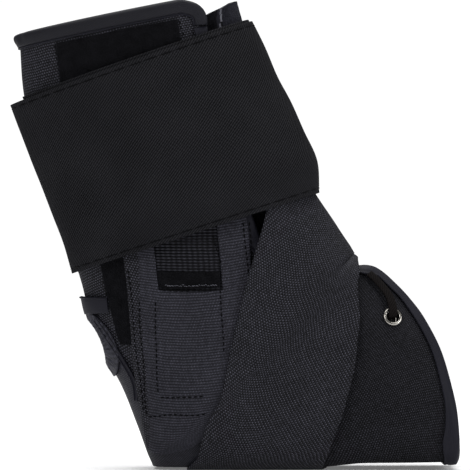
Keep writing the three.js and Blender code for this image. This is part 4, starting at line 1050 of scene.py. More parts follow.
def stitched_row(line: np.ndarray, up: np.ndarray, length: float, gap: float, radius: float) -> tuple:
    """Lay separate stitches along a line on the cloth.

    Args:
        line: points close together along the seam, millimetres.
        up: outward direction at each point.
        length: length of a stitch.
        gap: distance between two stitches.
        radius: radius of the thread.

    Returns:
        Points and faces of all the stitches.
    """
    run = distances(line)
    starts = np.arange(gap / 2, run[-1] - length, length + gap)
    points, faces = [], []
    sides, rings = 6, 5
    for number, start in enumerate(starts):
        at = start + length * np.linspace(0, 1, rings)
        centre = np.stack([np.interp(at, run, line[:, k]) for k in range(3)], 1)
        lift = np.stack([np.interp(at, run, up[:, k]) for k in range(3)], 1)
        along = centre[-1] - centre[0]
        along /= np.linalg.norm(along) + 1e-9
        across = np.cross(along, lift[2])
        across /= np.linalg.norm(across) + 1e-9
        swell = np.sin(np.linspace(0.12, math.pi - 0.12, rings)) ** 0.6
        centre = centre + lift * (radius * (swell[:, None] - 0.55))
        angle = np.linspace(0, 2 * math.pi, sides, endpoint=False)
        ring = radius * swell[:, None, None] * (
            across * np.cos(angle)[None, :, None] + lift[:, None] * np.sin(angle)[None, :, None])
        base = number * rings * sides
        points.append((centre[:, None] + ring).reshape(-1, 3))
        for i in range(rings - 1):
            for j in range(sides):
                k = (j + 1) % sides
                a, b = base + i * sides, base + (i + 1) * sides
                faces.append([a + j, a + k, b + k, b + j])
        faces.append([base + j for j in range(sides)][::-1])
        faces.append([base + (rings - 1) * sides + j for j in range(sides)])
    return (np.concatenate(points) if points else np.zeros((0, 3))), faces


@dataclass
class Seams:
    """All the seam threads of the brace, gathered into one piece."""

    length: float = 2.3
    gap: float = 0.9
    close_gap: float = 0.15
    radius: float = 0.40
    points: list = field(default_factory=list)
    faces: list = field(default_factory=list)
    count: int = 0

    def sew(self, line: np.ndarray, up: np.ndarray, length: float = 0.0) -> None:
        """Add a row of stitches along a line, or of long close ones where a length is given.

        Args:
            line: points close together along the seam, millimetres.
            up: outward direction at each point.
            length: length of a long stitch, or zero.
        """
        gap = self.gap if length == 0.0 else self.close_gap
        points, faces = stitched_row(line, up, length or self.length, gap, self.radius)
        self.points.append(points)
        self.faces.extend([[i + self.count for i in face] for face in faces])
        self.count += len(points)

    def sew_on_body(self, marks: list[tuple[float, float]], side: Side, height: float) -> None:
        """Add a row through marks that are measured on the side view, at a height over the quarters.

        Args:
            marks: places on the side view.
            side: the side of the brace.
            height: millimetres over the body.
        """
        places = [BOOT.locate(*from_photo(x, y), side.value) for x, y in marks]
        route = even_route(np.array(places), 0.8)
        up = BOOT.read(BOOT.normals, route[:, 0], route[:, 1])
        self.sew(BOOT.raised(route[:, 0], route[:, 1], height), up)

    def finish(self) -> bpy.types.Object:
        """Make the threads one piece.

        Returns:
            The new object.
        """
        piece = build_object("seam_threads", np.concatenate(self.points), self.faces,
                             np.concatenate(self.points)[:, [0, 2]])
        # The threads take the darkest finish, which also paints the shade of the stitch furrows
        return dress(piece, THREAD_AND_FURROW_SHADE)


@dataclass
class Quarter:
    """One half of the brace: a padded cloth from the front edge round to the back seam."""

    side: Side
    rows: int = 210
    columns: int = 96
    wave: float = 0.22
    wave_size: float = 26.0
    eyelet_hole: float = 4.4
    toe_from: float = 15.4

    @property
    def word(self) -> str:
        """Name of the side."""
        return self.side.name.lower()

    def build(self) -> bpy.types.Object:
        """Build the padded cloth with the hole for the eyelet.

        Returns:
            The new object.
        """
        u = np.linspace(0, BOOT.last, self.rows + 1)
        middle, reach = sum(HEEL_SLOT) / 2, (HEEL_SLOT[1] - HEEL_SLOT[0]) / 2
        close = middle + reach * np.sin(np.linspace(-math.pi / 2, math.pi / 2, 25))
        u = np.unique(np.concatenate([u, close, np.linspace(self.toe_from, BOOT.last, 25)]))
        share = np.linspace(0, 1, self.columns + 1)
        front, back = front_share(u)[:, None], back_share(u)[:, None]
        v = front + (back - front) * share[None, :]
        u_all = np.broadcast_to(u[:, None], v.shape)
        flat = BOOT.raised(u_all, self.side.value * v, 0.0)
        wave = self.wave * ripple(flat, self.wave_size, 1.0 + self.side.value)
        wave = wave * np.sin(math.pi * share)[None, :]
        outer = BOOT.raised(u_all, self.side.value * v, np.minimum(wave, self.wave) - 0.02)
        inner = BOOT.raised(u_all, self.side.value * v, -QUARTER_WALL)
        uv = np.stack([(v - 0.5) * BOOT.girth(u_all), np.zeros_like(v)], 2)
        run = distances(flat[:, self.columns // 2])
        uv[..., 1] = run[:, None]
        centre, _ = eyelet_frame(self.side)
        cell = (outer[:-1, :-1] + outer[1:, 1:] + outer[:-1, 1:] + outer[1:, :-1]) / 4
        opened = np.linalg.norm(cell - centre, axis=2) < self.eyelet_hole
        piece = cloth_piece(f"{self.word}_quarter_cloth", outer, inner, uv, opened)
        dress(piece, QUARTER_WEAVE, f"{self.word}_quarter")
        centres = face_centres(piece)
        # The forefoot takes the darker weave, whose colours are partly painted shade
        forefoot = centres[:, 0] > side_x(FOREFOOT_FROM)
        reach = np.interp(centres[:, 2] / HEIGHT, *HEEL_CLOTH)
        heel = (centres[:, 0] < side_x(reach)) & (centres[:, 2] < side_z(HEEL_CLOTH_TOP))
        gathered = heel & (centres[:, 2] > side_z(HEEL_GATHERS_FROM))
        dress_regions(piece, [(FINE_WEAVE_PAINTED_SHADE, forefoot), (HEEL_WEAVE, heel), (WRINKLED_TRICOT, gathered)])
        return piece


def eyelet_frame(side: Side) -> tuple[np.ndarray, np.ndarray]:
    """Centre and outward direction of an eyelet.

    Args:
        side: the side of the brace.

    Returns:
        The centre in millimetres and a unit direction.
    """
    u, v = BOOT.locate(*EYELET_AT, side.value)
    centre = BOOT.read(BOOT.points, u, v)
    normal = BOOT.read(BOOT.normals, u, v)
    return centre, normal / np.linalg.norm(normal)


def laid_patch(rows: list, side: Side, count: int, shares: np.ndarray) -> tuple[np.ndarray, np.ndarray]:
    """Places of a flat piece laid between a back and a front edge.

    Args:
        rows: back x, back z, front x and front z of each row.
        side: the side of the brace.
        count: rows of the fine grid.
        shares: shares across, from the back edge to the front edge.

    Returns:
        Two grids, of u and of v.
    """
    backs = np.array([BOOT.locate(r[0], r[1], side.value) for r in rows])
    fronts = np.array([BOOT.locate(r[2], r[3], side.value) for r in rows])
    at = np.linspace(0, len(rows) - 1, count)
    back, front = smooth_rows(backs, at), smooth_rows(fronts, at)
    places = back[:, None] * (1 - shares[None, :, None]) + front[:, None] * shares[None, :, None]
    return places[..., 0], places[..., 1]


@dataclass
class SideDressing:
    """Loop field, stay tape and side panel of one side, with their stitching."""

    side: Side
    seams: Seams

    @property
    def word(self) -> str:
        """Name of the side."""
        return self.side.name.lower()

    def loop_field(self) -> bpy.types.Object:
        """Brushed pile sewn to the quarter, with an uneven nap.

        Returns:
            The new object.
        """
        u, v = laid_patch(LOOP_FIELD, self.side, 190, np.linspace(0, 1, 70))
        flat = BOOT.raised(u, v, SKIN_GAP)
        rng = np.random.default_rng(11)
        nap = LOOP_PILE * (0.86 + 0.12 * ripple(flat, 3.0, 2.0)) + 0.07 * rng.standard_normal(u.shape)
        edge = np.minimum(np.arange(u.shape[1]), np.arange(u.shape[1])[::-1])[None, :] / 3
        nap = nap * np.clip(0.4 + edge, 0.4, 1)
        outer = BOOT.raised(u, v, SKIN_GAP + np.minimum(nap, LOOP_PILE + 0.1))
        piece = dress(cloth_piece(f"{self.word}_loop_pile", outer, flat), LOOP_NAP, f"{self.word}_loop_field")
        return piece

    def stay_tape(self) -> bpy.types.Object:
        """Ribbed tape of the stay, seen in the window.

        Returns:
            The new object.
        """
        u, v = laid_patch(STAY_TAPE, self.side, 230, np.linspace(0, 1, 16))
        low = BOOT.raised(u, v, SKIN_GAP)
        rib = np.abs(np.sin(math.pi * distances(low[:, 8]) / STAY_PITCH))[:, None]
        outer = BOOT.raised(u, v, SKIN_GAP + RIBBED_TAPE * (0.55 + 0.42 * rib))
        return dress(cloth_piece(f"{self.word}_stay_ribs", outer, low), STAY_RIBS, f"{self.word}_stay_tape")

    def pocket_pile(self) -> bpy.types.Object:
        """Band of loop pile at the bottom of the window, where the stay slides in.

        Returns:
            The new object.
        """
        rows = [(*from_photo(POCKET_BAND[0], y), *from_photo(POCKET_BAND[1], y)) for y in POCKET_ROWS]
        u, v = laid_patch(rows, self.side, 30, np.linspace(0, 1, 60))
        level = SKIN_GAP + RIBBED_TAPE - 0.05
        low = BOOT.raised(u, v, level)
        rng = np.random.default_rng(5)
        nap = 0.12 * ripple(low, 2.0, 3.0) + 0.06 * rng.standard_normal(u.shape)
        outer = BOOT.raised(u, v, level + 0.75 + nap)
        return dress(cloth_piece(f"{self.word}_pocket_pile", outer, low), LOOP_NAP)

    def pocket_fray(self) -> bpy.types.Object:
        """Loose loops of thread along the mouth of the pocket.

        Returns:
            The new object.
        """
        rng = np.random.default_rng(9)
        points, faces, count = [], [], 0
        for x in np.arange(*FRAY_SPAN, 2.3):
            x += rng.uniform(-0.9, 0.9)
            y = FRAY_AT + rng.uniform(-0.8, 0.8)
            wide, tall = rng.uniform(0.8, 1.9), rng.uniform(0.4, 1.3)
            marks = [(x - wide, y), (x - wide / 3, y - tall),
                     (x + wide / 2, y - tall / 2), (x + wide, y + 0.4)]
            places = np.array([BOOT.locate(*from_photo(*m), self.side.value) for m in marks])
            fine = smooth_rows(places, np.linspace(0, 3, 9))
            up = BOOT.read(BOOT.normals, fine[:, 0], fine[:, 1])
            line = BOOT.raised(fine[:, 0], fine[:, 1], PANEL_BASE + PANEL_CLOTH + 0.1)
            loop, loop_faces = stitched_row(line, up, distances(line)[-1] * 0.9, 0.05, 0.16)
            faces.extend([[i + count for i in face] for face in loop_faces])
            points.append(loop)
            count += len(loop)
        every = np.concatenate(points)
        return dress(build_object(f"{self.word}_pocket_fray", every, faces, every[:, [0, 2]]), FRAY)

    def side_panel(self) -> bpy.types.Object:
        """Nylon panel with its window and hems; its stitch rows are sewn by sew.

        Returns:
            The new object.
        """
        left, right = WINDOW_SPAN
        first, last = WINDOW_ROWS
        shares = np.unique(np.concatenate([np.linspace(0, left, 22), np.linspace(left, right, 40),
                                           np.linspace(right, 1, 20)]))
        count = 22 * (len(SIDE_PANEL) - 1) + 1
        u, v = laid_patch(SIDE_PANEL, self.side, count, shares)
        rows = np.linspace(0, len(SIDE_PANEL) - 1, count)
        flat = BOOT.raised(u, v, PANEL_BASE)
        hem = np.exp(-((shares - 0.02) / 0.025) ** 2) + np.exp(-((shares - 0.985) / 0.02) ** 2)
        lift = PANEL_CLOTH * (0.72 + 0.22 * np.clip(hem, 0, 1))[None, :] + 0.10 * ripple(flat, 14.0, 5.0)
        between = (shares > left) & (shares < right)
        mouth = np.exp(-((rows[:, None] - last - 0.06) / 0.07) ** 2) * between[None, :]
        sides = sum(np.exp(-((shares - edge) / 0.014) ** 2) for edge in (left - 0.012, right + 0.012))
        lift = lift + 0.25 * mouth + 0.22 * sides[None, :] * (rows < last + 0.2)[:, None]
        outer = BOOT.raised(u, v, PANEL_BASE + np.clip(lift, 0.3, PANEL_CLOTH + 0.25))
        middle_row = (rows[:-1] + rows[1:]) / 2
        middle_share = (shares[:-1] + shares[1:]) / 2
        opened = ((middle_row > first) & (middle_row < last))[:, None] & (
            (middle_share > left) & (middle_share < right))[None, :]
        piece = cloth_piece(f"{self.word}_panel_cloth", outer, flat, None, opened)
        dress(piece, PANEL_WEAVE, f"{self.word}_side_panel")
        centres = face_centres(piece)
        hem_end = np.interp(centres[:, 2] / HEIGHT, *PANEL_HEM)
        dress_regions(piece, [(QUARTER_WEAVE, centres[:, 0] < side_x(hem_end))])
        return piece

    def sew(self) -> None:
        """Sew the rows that show on this side."""
        level = PANEL_BASE + PANEL_CLOTH * 0.93
        for rows, height in ((PANEL_STITCHES, level), (QUARTER_STITCHES, 0.15)):
            for marks in rows:
                self.seams.sew_on_body(marks, self.side, height)

    def build(self) -> None:
        """Build everything on this side."""
        self.loop_field()
        self.stay_tape()
        self.pocket_pile()
        self.pocket_fray()
        self.side_panel()
        self.sew()


@dataclass
class Tapes:
    """Edge bindings, heel opening binding, collar, back tab and their piping."""

    edge_width: float = 6.2
    heel_width: float = 9.0
    collar_width: float = 5.5
    collar_ends_at: float = 0.945

    def folded(self, width: float, swell: float) -> np.ndarray:
        """Profile of tape folded over the quarter's edge, as widths and heights.

        Args:
            width: how far the tape reaches onto the cloth.
            swell: how much its face bulges.

        Returns:
            A width and a height for each point of the profile.
        """
        low, high = SEWN_GAP, SEWN_GAP + TAPE
        inner = -QUARTER_WALL - INNER_GAP
        t = np.linspace(0, 1, 9)
        w = width * (1 - t)
        groove = np.exp(-((w - width + 1.7) / 0.55) ** 2)
        over = np.stack([w, high - 0.08 + swell * np.sin(math.pi * t) - 0.32 * groove], 1)
        turn = np.linspace(0, math.pi, 9)[1:-1]
        middle, half = (high + inner - TAPE) / 2, (high - inner + TAPE) / 2
        fold = np.stack([-(EDGE_GAP + TAPE) * np.sin(turn), middle + half * np.cos(turn)], 1)
        under = np.stack([np.linspace(0, width, 5), np.full(5, inner - TAPE)], 1)
        back = np.array([(width, inner), (-EDGE_GAP * 0.6, inner), (-EDGE_GAP * 0.6, low), (width, low)])
        return np.concatenate([over, fold, under, back])

    def edge_binding(self, side: Side) -> bpy.types.Object:
        """Tape along the front edge and the toe opening of one quarter.

        Args:
            side: the side of the brace.

        Returns:
            The new object.
        """
        down = FRONT_ROUTE[BOOT.read(BOOT.points, FRONT_ROUTE[:, 0], FRONT_ROUTE[:, 1])[:, 2]
                           < self.collar_ends_at * HEIGHT - LAYER_GAP]
        down = down[::2] if len(down) % 2 else down[1::2]
        bottom = 1 - SEAM_HALF_GAP / BOOT.girth(BOOT.last)
        under = np.linspace(down[-1, 1], bottom, 22)[1:]
        route = np.concatenate([down, np.stack([np.full(len(under), float(BOOT.last)), under], 1)])
        placed = route * np.array([1, side.value])
        inward = Inward.RIGHT if side is Side.NEAR else Inward.LEFT
        line = EdgeLine(placed, inward)
        profile = self.folded(self.edge_width, 0.12)
        rings = line.laid(profile[:, 0], profile[:, 1])
        piece = swept_piece(f"{side.name.lower()}_edge_tape", rings, False)
        dress(piece, TRICOT, f"{side.name.lower()}_edge_binding")
        return piece

    def heel_binding(self) -> bpy.types.Object:
        """Soft tape round the heel opening, wider towards its lower end and gathered into wrinkles.

        Returns:
            The new object.
        """
        low, high = HEEL_SLOT
        angle = np.linspace(0, 2 * math.pi, 241)[:-1]
        u = (low + high) / 2 + (high - low) / 2 * np.cos(angle)
        v = 1 + HEEL_SLOT_WIDTH / 2 * np.sin(angle) / BOOT.girth(u)
        line = EdgeLine(np.stack([u, v], 1), Inward.RIGHT, True)
        profile = self.folded(self.heel_width, 0.10)
        fall = (u - low) / (high - low)
        sides = np.abs(np.sin(angle)) ** 0.35
        reach = (0.62 + 0.75 * fall) * sides + 0.42 * (1 - sides)
        width = np.where(profile[None, :, 0] > 0, profile[None, :, 0] * reach[:, None], profile[None, :, 0])
        gather = 0.30 * np.sin(19 * angle + 2.2 * np.sin(3 * angle)) + 0.16 * np.sin(43 * angle + 1.1)
        face = np.clip(1 - np.abs(np.arange(len(profile)) - 5) / 5, 0, 1)
        height = profile[None, :, 1] + (gather[:, None] - 0.2) * face[None, :]
        rings = line.laid(width, height)
        piece = swept_piece("heel_opening_tape", rings, True)
        return dress(piece, WRINKLED_TRICOT, "heel_opening_binding")

    def cord(
        self, name: str, line: EdgeLine, place: tuple[float, float], radius: float, steps: int,
    ) -> bpy.types.Object:
        """Round cord that runs beside a route.

        Args:
            name: the piece's name.
            line: the route.
            place: distance from the route and height over the body.
            radius: radius of the cord.
            steps: corners of its section.

        Returns:
            The cord.
        """
        turn = np.linspace(0, 2 * math.pi, steps + 1)[:-1]
        rings = line.laid(place[0] + radius * np.cos(turn), place[1] + radius * np.sin(turn))
        return dress(swept_piece(name, rings, False), TRICOT)

    def heel_cords(self, side: Side) -> list[bpy.types.Object]:
        """Narrow tape with a cord at each edge, from the back tab down the front of the heel.

        Args:
            side: the side of the brace.

        Returns:
            The new objects.
        """
        places = np.array([BOOT.locate(*from_photo(x, y), side.value) for x, y in HEEL_CORD])
        line = EdgeLine(even_route(places, 1.2), Inward.RIGHT if side is Side.NEAR else Inward.LEFT)
        word = side.name.lower()
        pieces = [self.cord(f"{word}_heel_cord_{name}", line, (middle, 1.35), radius, 10)
                  for name, middle, radius in (("front", 0.0, 0.5), ("back", 2.5, 0.45))]
        flat = np.array([(0.0, 0.15), (0.0, 1.35), (1.25, 1.1), (2.5, 1.35), (2.5, 0.15)])
        rings = line.laid(flat[:, 0], flat[:, 1])
        pieces.append(dress(swept_piece(f"{word}_heel_seam_tape", rings, False), TRICOT))
        return pieces

    def collar(self) -> list[bpy.types.Object]:
        """Padded roll round the top edge, with the thin piping under it.

        Returns:
            The new objects.
        """
        heights = BOOT.read(BOOT.points, FRONT_ROUTE[:, 0], FRONT_ROUTE[:, 1])[:, 2]
        corner = FRONT_ROUTE[(heights > self.collar_ends_at * HEIGHT)][::2]
        near = corner[::-1] * np.array([1, -1])
        start = corner[0, 1]
        near_top = np.stack([np.zeros(90), -np.linspace(start, 1, 90)], 1)[1:]
        far_top = np.stack([np.zeros(90), np.linspace(1, start, 90) - 2], 1)[1:]
        far = corner - np.array([0, 2])
        route = np.concatenate([near, near_top, far_top, far[1:]])
        line = EdgeLine(route, Inward.LEFT)
        inner = -QUARTER_WALL - INNER_GAP
        width, count = self.collar_width, len(route)
        t = np.linspace(0, 1, 10)
        swell = (COLLAR_SWELL - TAPE) * np.sin(0.5 * math.pi * t) ** 0.8
        over = np.stack([width * (1 - t), LAYER_GAP + TAPE + swell], 1)
        turn = np.linspace(0, math.pi, 11)[1:-1]
        top, low = over[-1, 1], inner - COLLAR_SWELL
        fold = np.stack([-(EDGE_GAP + 1.6 * TAPE) * np.sin(turn),
                         (top + low) / 2 + (top - low) / 2 * np.cos(turn)], 1)
        under = np.stack([np.linspace(0, width, 6), np.linspace(low, inner - TAPE, 6)], 1)
        back = np.array([(width, inner), (-EDGE_GAP * 0.5, inner),
                         (-EDGE_GAP * 0.5, LAYER_GAP), (width, LAYER_GAP)])
        profile = np.concatenate([over, fold, under, back])
        s = np.arange(count)[:, None]
        crease = 0.34 * np.sin(s / 3.1 + 2.0 * np.sin(s / 17.0)) * np.sin(s / 29.0) ** 2
        fold_back = 0.9 * np.exp(-((np.abs(s - count / 2) - 9) / 2.2) ** 2)
        bunch = 1.1 * np.exp(-((s - count / 2) / 7.0) ** 4) * (0.7 + 0.3 * np.sin(s * 1.9))
        mask = np.zeros(len(profile))
        mask[2:16] = np.sin(np.linspace(0, math.pi, 14))
        height = profile[None, :, 1] + (crease - fold_back + bunch) * mask[None, :] * 0.8
        rings = line.laid(np.broadcast_to(profile[:, 0], height.shape), height)
        roll = dress(swept_piece("collar_roll", rings, False), COLLAR_TRICOT, "collar")
        return [roll, self.cord("collar_piping", line, (width + 0.55, 0.75), 0.5, 8)]

    def back_tab(self) -> list[bpy.types.Object]:
        """Tape sewn over the back seam above the heel opening, with piping on its top edge.

        Returns:
            The new objects.
        """
        tops = np.array(unwrapped([BOOT.locate(r[0], r[1], r[4]) for r in BACK_TAB]))
        lows = np.array(unwrapped([BOOT.locate(r[2], r[3], r[4]) for r in BACK_TAB]))
        at = np.linspace(0, len(BACK_TAB) - 1, 70)
        share = np.linspace(0, 1, 16)[None, :, None]
        places = smooth_rows(tops, at)[:, None] * (1 - share) + smooth_rows(lows, at)[:, None] * share
        base = SEWN_GAP + TAPE + SKIN_GAP
        low = BOOT.raised(places[..., 0], places[..., 1], base)
        lift = TAPE * (0.7 + 0.3 * np.sin(math.pi * share[..., 0])) + 0.08 * ripple(low, 5.0, 3.0)
        outer = BOOT.raised(places[..., 0], places[..., 1], base + lift)
        tab = dress(cloth_piece("back_tab_tape", outer, low), TRICOT, "back_tab")
        line = EdgeLine(smooth_rows(tops, at), Inward.LEFT)
        return [tab, self.cord("back_tab_piping", line, (0.6, base + TAPE + 0.1), 0.5, 8)]

    def build(self) -> None:
        """Build every tape."""
        for side in Side:
            self.edge_binding(side)
            self.heel_cords(side)
        self.heel_binding()
        self.collar()
        self.back_tab()


@dataclass
class Straps:
    """The two straps that cross over the instep and pass under the sole."""

    rows: int = 230
    columns: int = 44

    def place(self, x: float, z: float, where: str, side: int) -> tuple[float, float]:
        """Place of one edge point of a strap.

        Args:
            x: share of the length.
            z: share of the height.
            where: sole, own side, ridge or other side.
            side: sign of the strap's own side.

        Returns:
            The row number and the girth share.
        """
        if where == "sole":
            u, _ = BOOT.locate(x, -0.02, side)
            return u, side * (1 - SEAM_HALF_GAP / BOOT.girth(u))
        if where == "ridge":
            return BOOT.locate(x, z, side)[0], 0.0
        return BOOT.locate(x, z, side if where == "own" else -side)

    def strap(self, side: Side, crossing: float) -> bpy.types.Object:
        """Build one strap at its height over the crossing.

        Args:
            side: the side of the brace.
            crossing: height over the quarters where the straps cross.

        Returns:
            The new object.
        """
        rear = np.array([self.place(r[0], r[1], r[2], side.value) for r in STRAP_ROUTE])
        fore = np.array([self.place(r[3], r[4], r[5], side.value) for r in STRAP_ROUTE])
        lifts = np.array([[r[6]] for r in STRAP_ROUTE])
        at = np.linspace(0, len(STRAP_ROUTE) - 1, self.rows)
        share = np.linspace(0, 1, self.columns)[None, :, None]
        places = smooth_rows(rear, at)[:, None] * (1 - share) + smooth_rows(fore, at)[:, None] * share
        lift = np.clip(smooth_rows(lifts, at)[:, 0], 0, 2)
        low = LAYER_GAP + (STRAP_BASE - LAYER_GAP) * np.minimum(lift, 1)
        base = (low + (crossing - low) * np.maximum(lift - 1, 0))[:, None]
        inner = BOOT.raised(places[..., 0], places[..., 1], base)
        free = np.clip((at - 2.5) / 2, 0, 1)[:, None]
        wave = 0.16 * ripple(inner, 24.0, 4.0 + side.value) * free
        level = base + STRAP_CLOTH * 0.9 + np.clip(wave, -0.2, 0.1)
        outer = BOOT.raised(places[..., 0], places[..., 1], level)
        word = side.name.lower()
        piece = dress(cloth_piece(f"{word}_strap_webbing", outer, inner), STRAP_WEAVE, f"{word}_strap")
        return piece

    def build(self) -> None:
        """Build both straps."""
        self.strap(Side.NEAR, HIGH_CROSSING)
        self.strap(Side.FAR, LOW_CROSSING)


@dataclass
class Cuff:
    """Wide elastic wound round the shaft, the inner turn standing a little above the outer one."""

    seams: Seams
    start: float = -0.9
    end: float = 2.6
    inner_rise: float = 0.1
    steps: int = 400
    across: int = 120
    selvedge: float = 2.4
    hem_shares: tuple = (0.025, 0.975)
    hem_stitch: float = 9.0

    def build(self) -> bpy.types.Object:
        """Build the wound elastic.

        Returns:
            The new object.
        """
        turns = (self.end - self.start) / 2
        left = turns * (1 - np.linspace(0, 1, self.steps + 1))[:, None]
        rise = np.minimum(self.inner_rise * np.clip(left - 0.8, 0, 1) * 2, self.inner_rise)
        share = np.linspace(0, 1, self.across + 1)[None, :]
        u = CUFF_BODY.last * share - rise
        v = np.broadcast_to(self.end - 2 * left, u.shape)
        level = (ELASTIC + SKIN_GAP) * (0.5 - left)
        inner = CUFF_BODY.raised(u, v, level - ELASTIC)
        from_edge = np.minimum(share, 1 - share) * CUFF_ELASTIC_WIDTH
        selvedge = np.clip(from_edge / 2.5, 0, 1)
        groove = np.exp(-((from_edge - self.selvedge) / 0.5) ** 2)
        wave = 0.10 * ripple(inner, 22.0, 7.0) * selvedge
        outer = CUFF_BODY.raised(u, v, level - 0.15 + wave + 0.05 * selvedge - 0.30 * groove)
        length = np.linspace(0, 1, self.steps + 1)[:, None] * 2 * turns * CUFF_BODY.girth(3.0)
        uv = np.stack(np.broadcast_arrays(length, CUFF_ELASTIC_WIDTH * share), 2)
        piece = dress(cloth_piece("elastic_cuff_band", outer, inner, uv), ELASTIC_RIBS, "elastic_cuff")
        for hem in self.hem_shares:
            at = CUFF_BODY.last * hem - rise[:, 0]
            up = CUFF_BODY.read(CUFF_BODY.normals, at, v[:, 0])
            self.seams.sew(CUFF_BODY.raised(at, v[:, 0], level[:, 0] - 0.36), up, self.hem_stitch)
        return piece


@dataclass
class Tongue:
    """Padded tongue behind the front opening, with a brushed face.

    Its top has a lighter face, and a frayed line and a line of tape behind it, given as shares of the length.
    """

    rows: int = 150
    columns: int = 60
    top_from: float = 0.94
    face_from: float = 0.474
    fray_at: float = 0.470
    tape_at: float = 0.466
    half_line: float = 0.7

    def build(self) -> bpy.types.Object:
        """Build the tongue.

        Returns:
            The new object.
        """
        at = np.linspace(0, len(TONGUE) - 1, self.rows)
        row, half, crown = smooth_rows(TONGUE, at).T
        across = np.linspace(-1, 1, self.columns)
        v = across[None, :] * half[:, None]
        u = np.broadcast_to(row[:, None], v.shape)
        free = np.maximum(front_share(row) - 0.035, 0.04)[:, None]
        bump = np.maximum(1 - (v / free) ** 2, 0)
        outer_level = TONGUE_TUCKED + (crown[:, None] - TONGUE_TUCKED) * bump
        inner = BOOT.raised(u, v, outer_level - TONGUE_PAD)
        nap = 0.10 * ripple(inner, 2.5, 6.0)
        outer = BOOT.raised(u, v, outer_level - 0.15 + nap)
        piece = dress(cloth_piece("tongue_pad", outer, inner), TONGUE_NAP, "tongue")
        x, _, z = face_centres(piece).T
        top = z > side_z(self.top_from)
        dress_regions(piece, [(TONGUE_FACE, top & (x > side_x(self.face_from))),
                              (FRAY, top & (abs(x - side_x(self.fray_at)) < self.half_line)),
                              (TRICOT, top & (abs(x - side_x(self.tape_at)) < self.half_line))])
        return piece


@dataclass
class Lacing:
    """Nickel eyelets and the flat lace through them."""

    bore: float = 3.35
    rim: float = 5.25
    seat: float = 0.5
    rim_height: float = 0.9
    wall: float = 0.55
    width: float = 5.0
    thickness: float = 1.2

    def eyelet(self, side: Side) -> bpy.types.Object:
        """Rolled ring of one eyelet.

        Args:
            side: the side of the brace.

        Returns:
            The new object.
        """
        inner = -QUARTER_WALL - INNER_GAP
        turn = np.linspace(0, math.pi, 13)
        barrel = self.bore + self.wall
        middle = (barrel + self.rim - 0.2) / 2
        reach = (self.rim - self.bore) / 2
        outer_roll = np.stack([middle - 0.1 + reach * np.cos(turn),
                               self.seat + self.rim_height * np.sin(turn) ** 0.8], 1)
        inner_roll = np.stack([middle - 0.1 - reach * np.cos(turn), inner - 0.9 * np.sin(turn) ** 0.8], 1)
        seat = [(self.rim - 0.3, inner), (barrel, inner), (barrel, self.seat), (self.rim - 0.3, self.seat)]
        profile = np.concatenate([outer_roll, inner_roll, seat])
        centre, normal = eyelet_frame(side)
        across = np.cross(normal, [1.0, 0, 0])
        across /= np.linalg.norm(across)
        other = np.cross(normal, across)
        angle = np.linspace(0, 2 * math.pi, 73)[:-1]
        spokes = across * np.cos(angle)[:, None] + other * np.sin(angle)[:, None]
        rings = centre + spokes[:, None] * profile[None, :, :1] + normal * profile[None, :, 1:]
        word = side.name.lower()
        return dress(swept_piece(f"{word}_eyelet_ring", rings, True), NICKEL, f"{word}_eyelet")

    def lace(self) -> bpy.types.Object:
        """Flat lace from under the strap through one eyelet, across inside, and out through the other.

        Returns:
            The new object.
        """
        outside, ups = [], []
        for x, z, height in LACE_ROUTE:
            u, v = BOOT.locate(x, z, -1)
            outside.append(BOOT.raised(np.array(u), np.array(v), LACE_LEVEL + height))
            ups.append(BOOT.read(BOOT.normals, u, v))
        centre, normal = eyelet_frame(Side.NEAR)
        last_run = outside[-1] - outside[-2]
        across = np.cross(last_run, normal)
        across /= np.linalg.norm(across)
        places, wides = [], []
        for i, at in enumerate(outside):
            run = outside[min(i + 1, len(outside) - 1)] - outside[max(i - 1, 0)]
            wide = np.cross(run, ups[i])
            places.append(at)
            wides.append(wide / np.linalg.norm(wide))
        away = outside[-1] - centre
        away -= normal * (away @ normal)
        away /= np.linalg.norm(away)
        for radius, height in LACE_BEND:
            places.append(centre + away * radius + normal * height)
            wides.append(across)
        places.append(places[-1] - normal * 3 + np.array([0, 2.0, 0]))
        wides.append(across)
        middle = places[-1] * np.array([1, 0, 1])
        level = np.array([across[0], 0, across[2]])
        level /= np.linalg.norm(level)
        mirror = np.array([1, -1, 1])
        line = np.array(places + [middle] + [p * mirror for p in places[::-1]])
        wide = np.array(wides + [level] + [w * mirror for w in wides[::-1]])
        at = np.linspace(0, len(line) - 1, 12 * (len(line) - 1) + 1)
        fine, wide = smooth_rows(line, at), smooth_rows(wide, at)
        wide /= np.linalg.norm(wide, axis=1, keepdims=True)
        thick = np.cross(wide, np.gradient(fine, axis=0))
        thick /= np.linalg.norm(thick, axis=1, keepdims=True)
        angle = np.linspace(0, 2 * math.pi, 21)[:-1]
        ca, sa = np.cos(angle), np.sin(angle)
        a = self.width / 2 * np.sign(ca) * np.abs(ca) ** 0.5
        b = self.thickness / 2 * np.sign(sa) * np.abs(sa) ** 0.7
        rings = fine[:, None] + wide[:, None] * a[None, :, None] + thick[:, None] * b[None, :, None]
        return dress(swept_piece("lace_braid", rings, False), LACE_BRAID, "lace")

    def build(self) -> None:
        """Build both eyelets and the lace."""
        for side in Side:
            self.eyelet(side)
        self.lace()


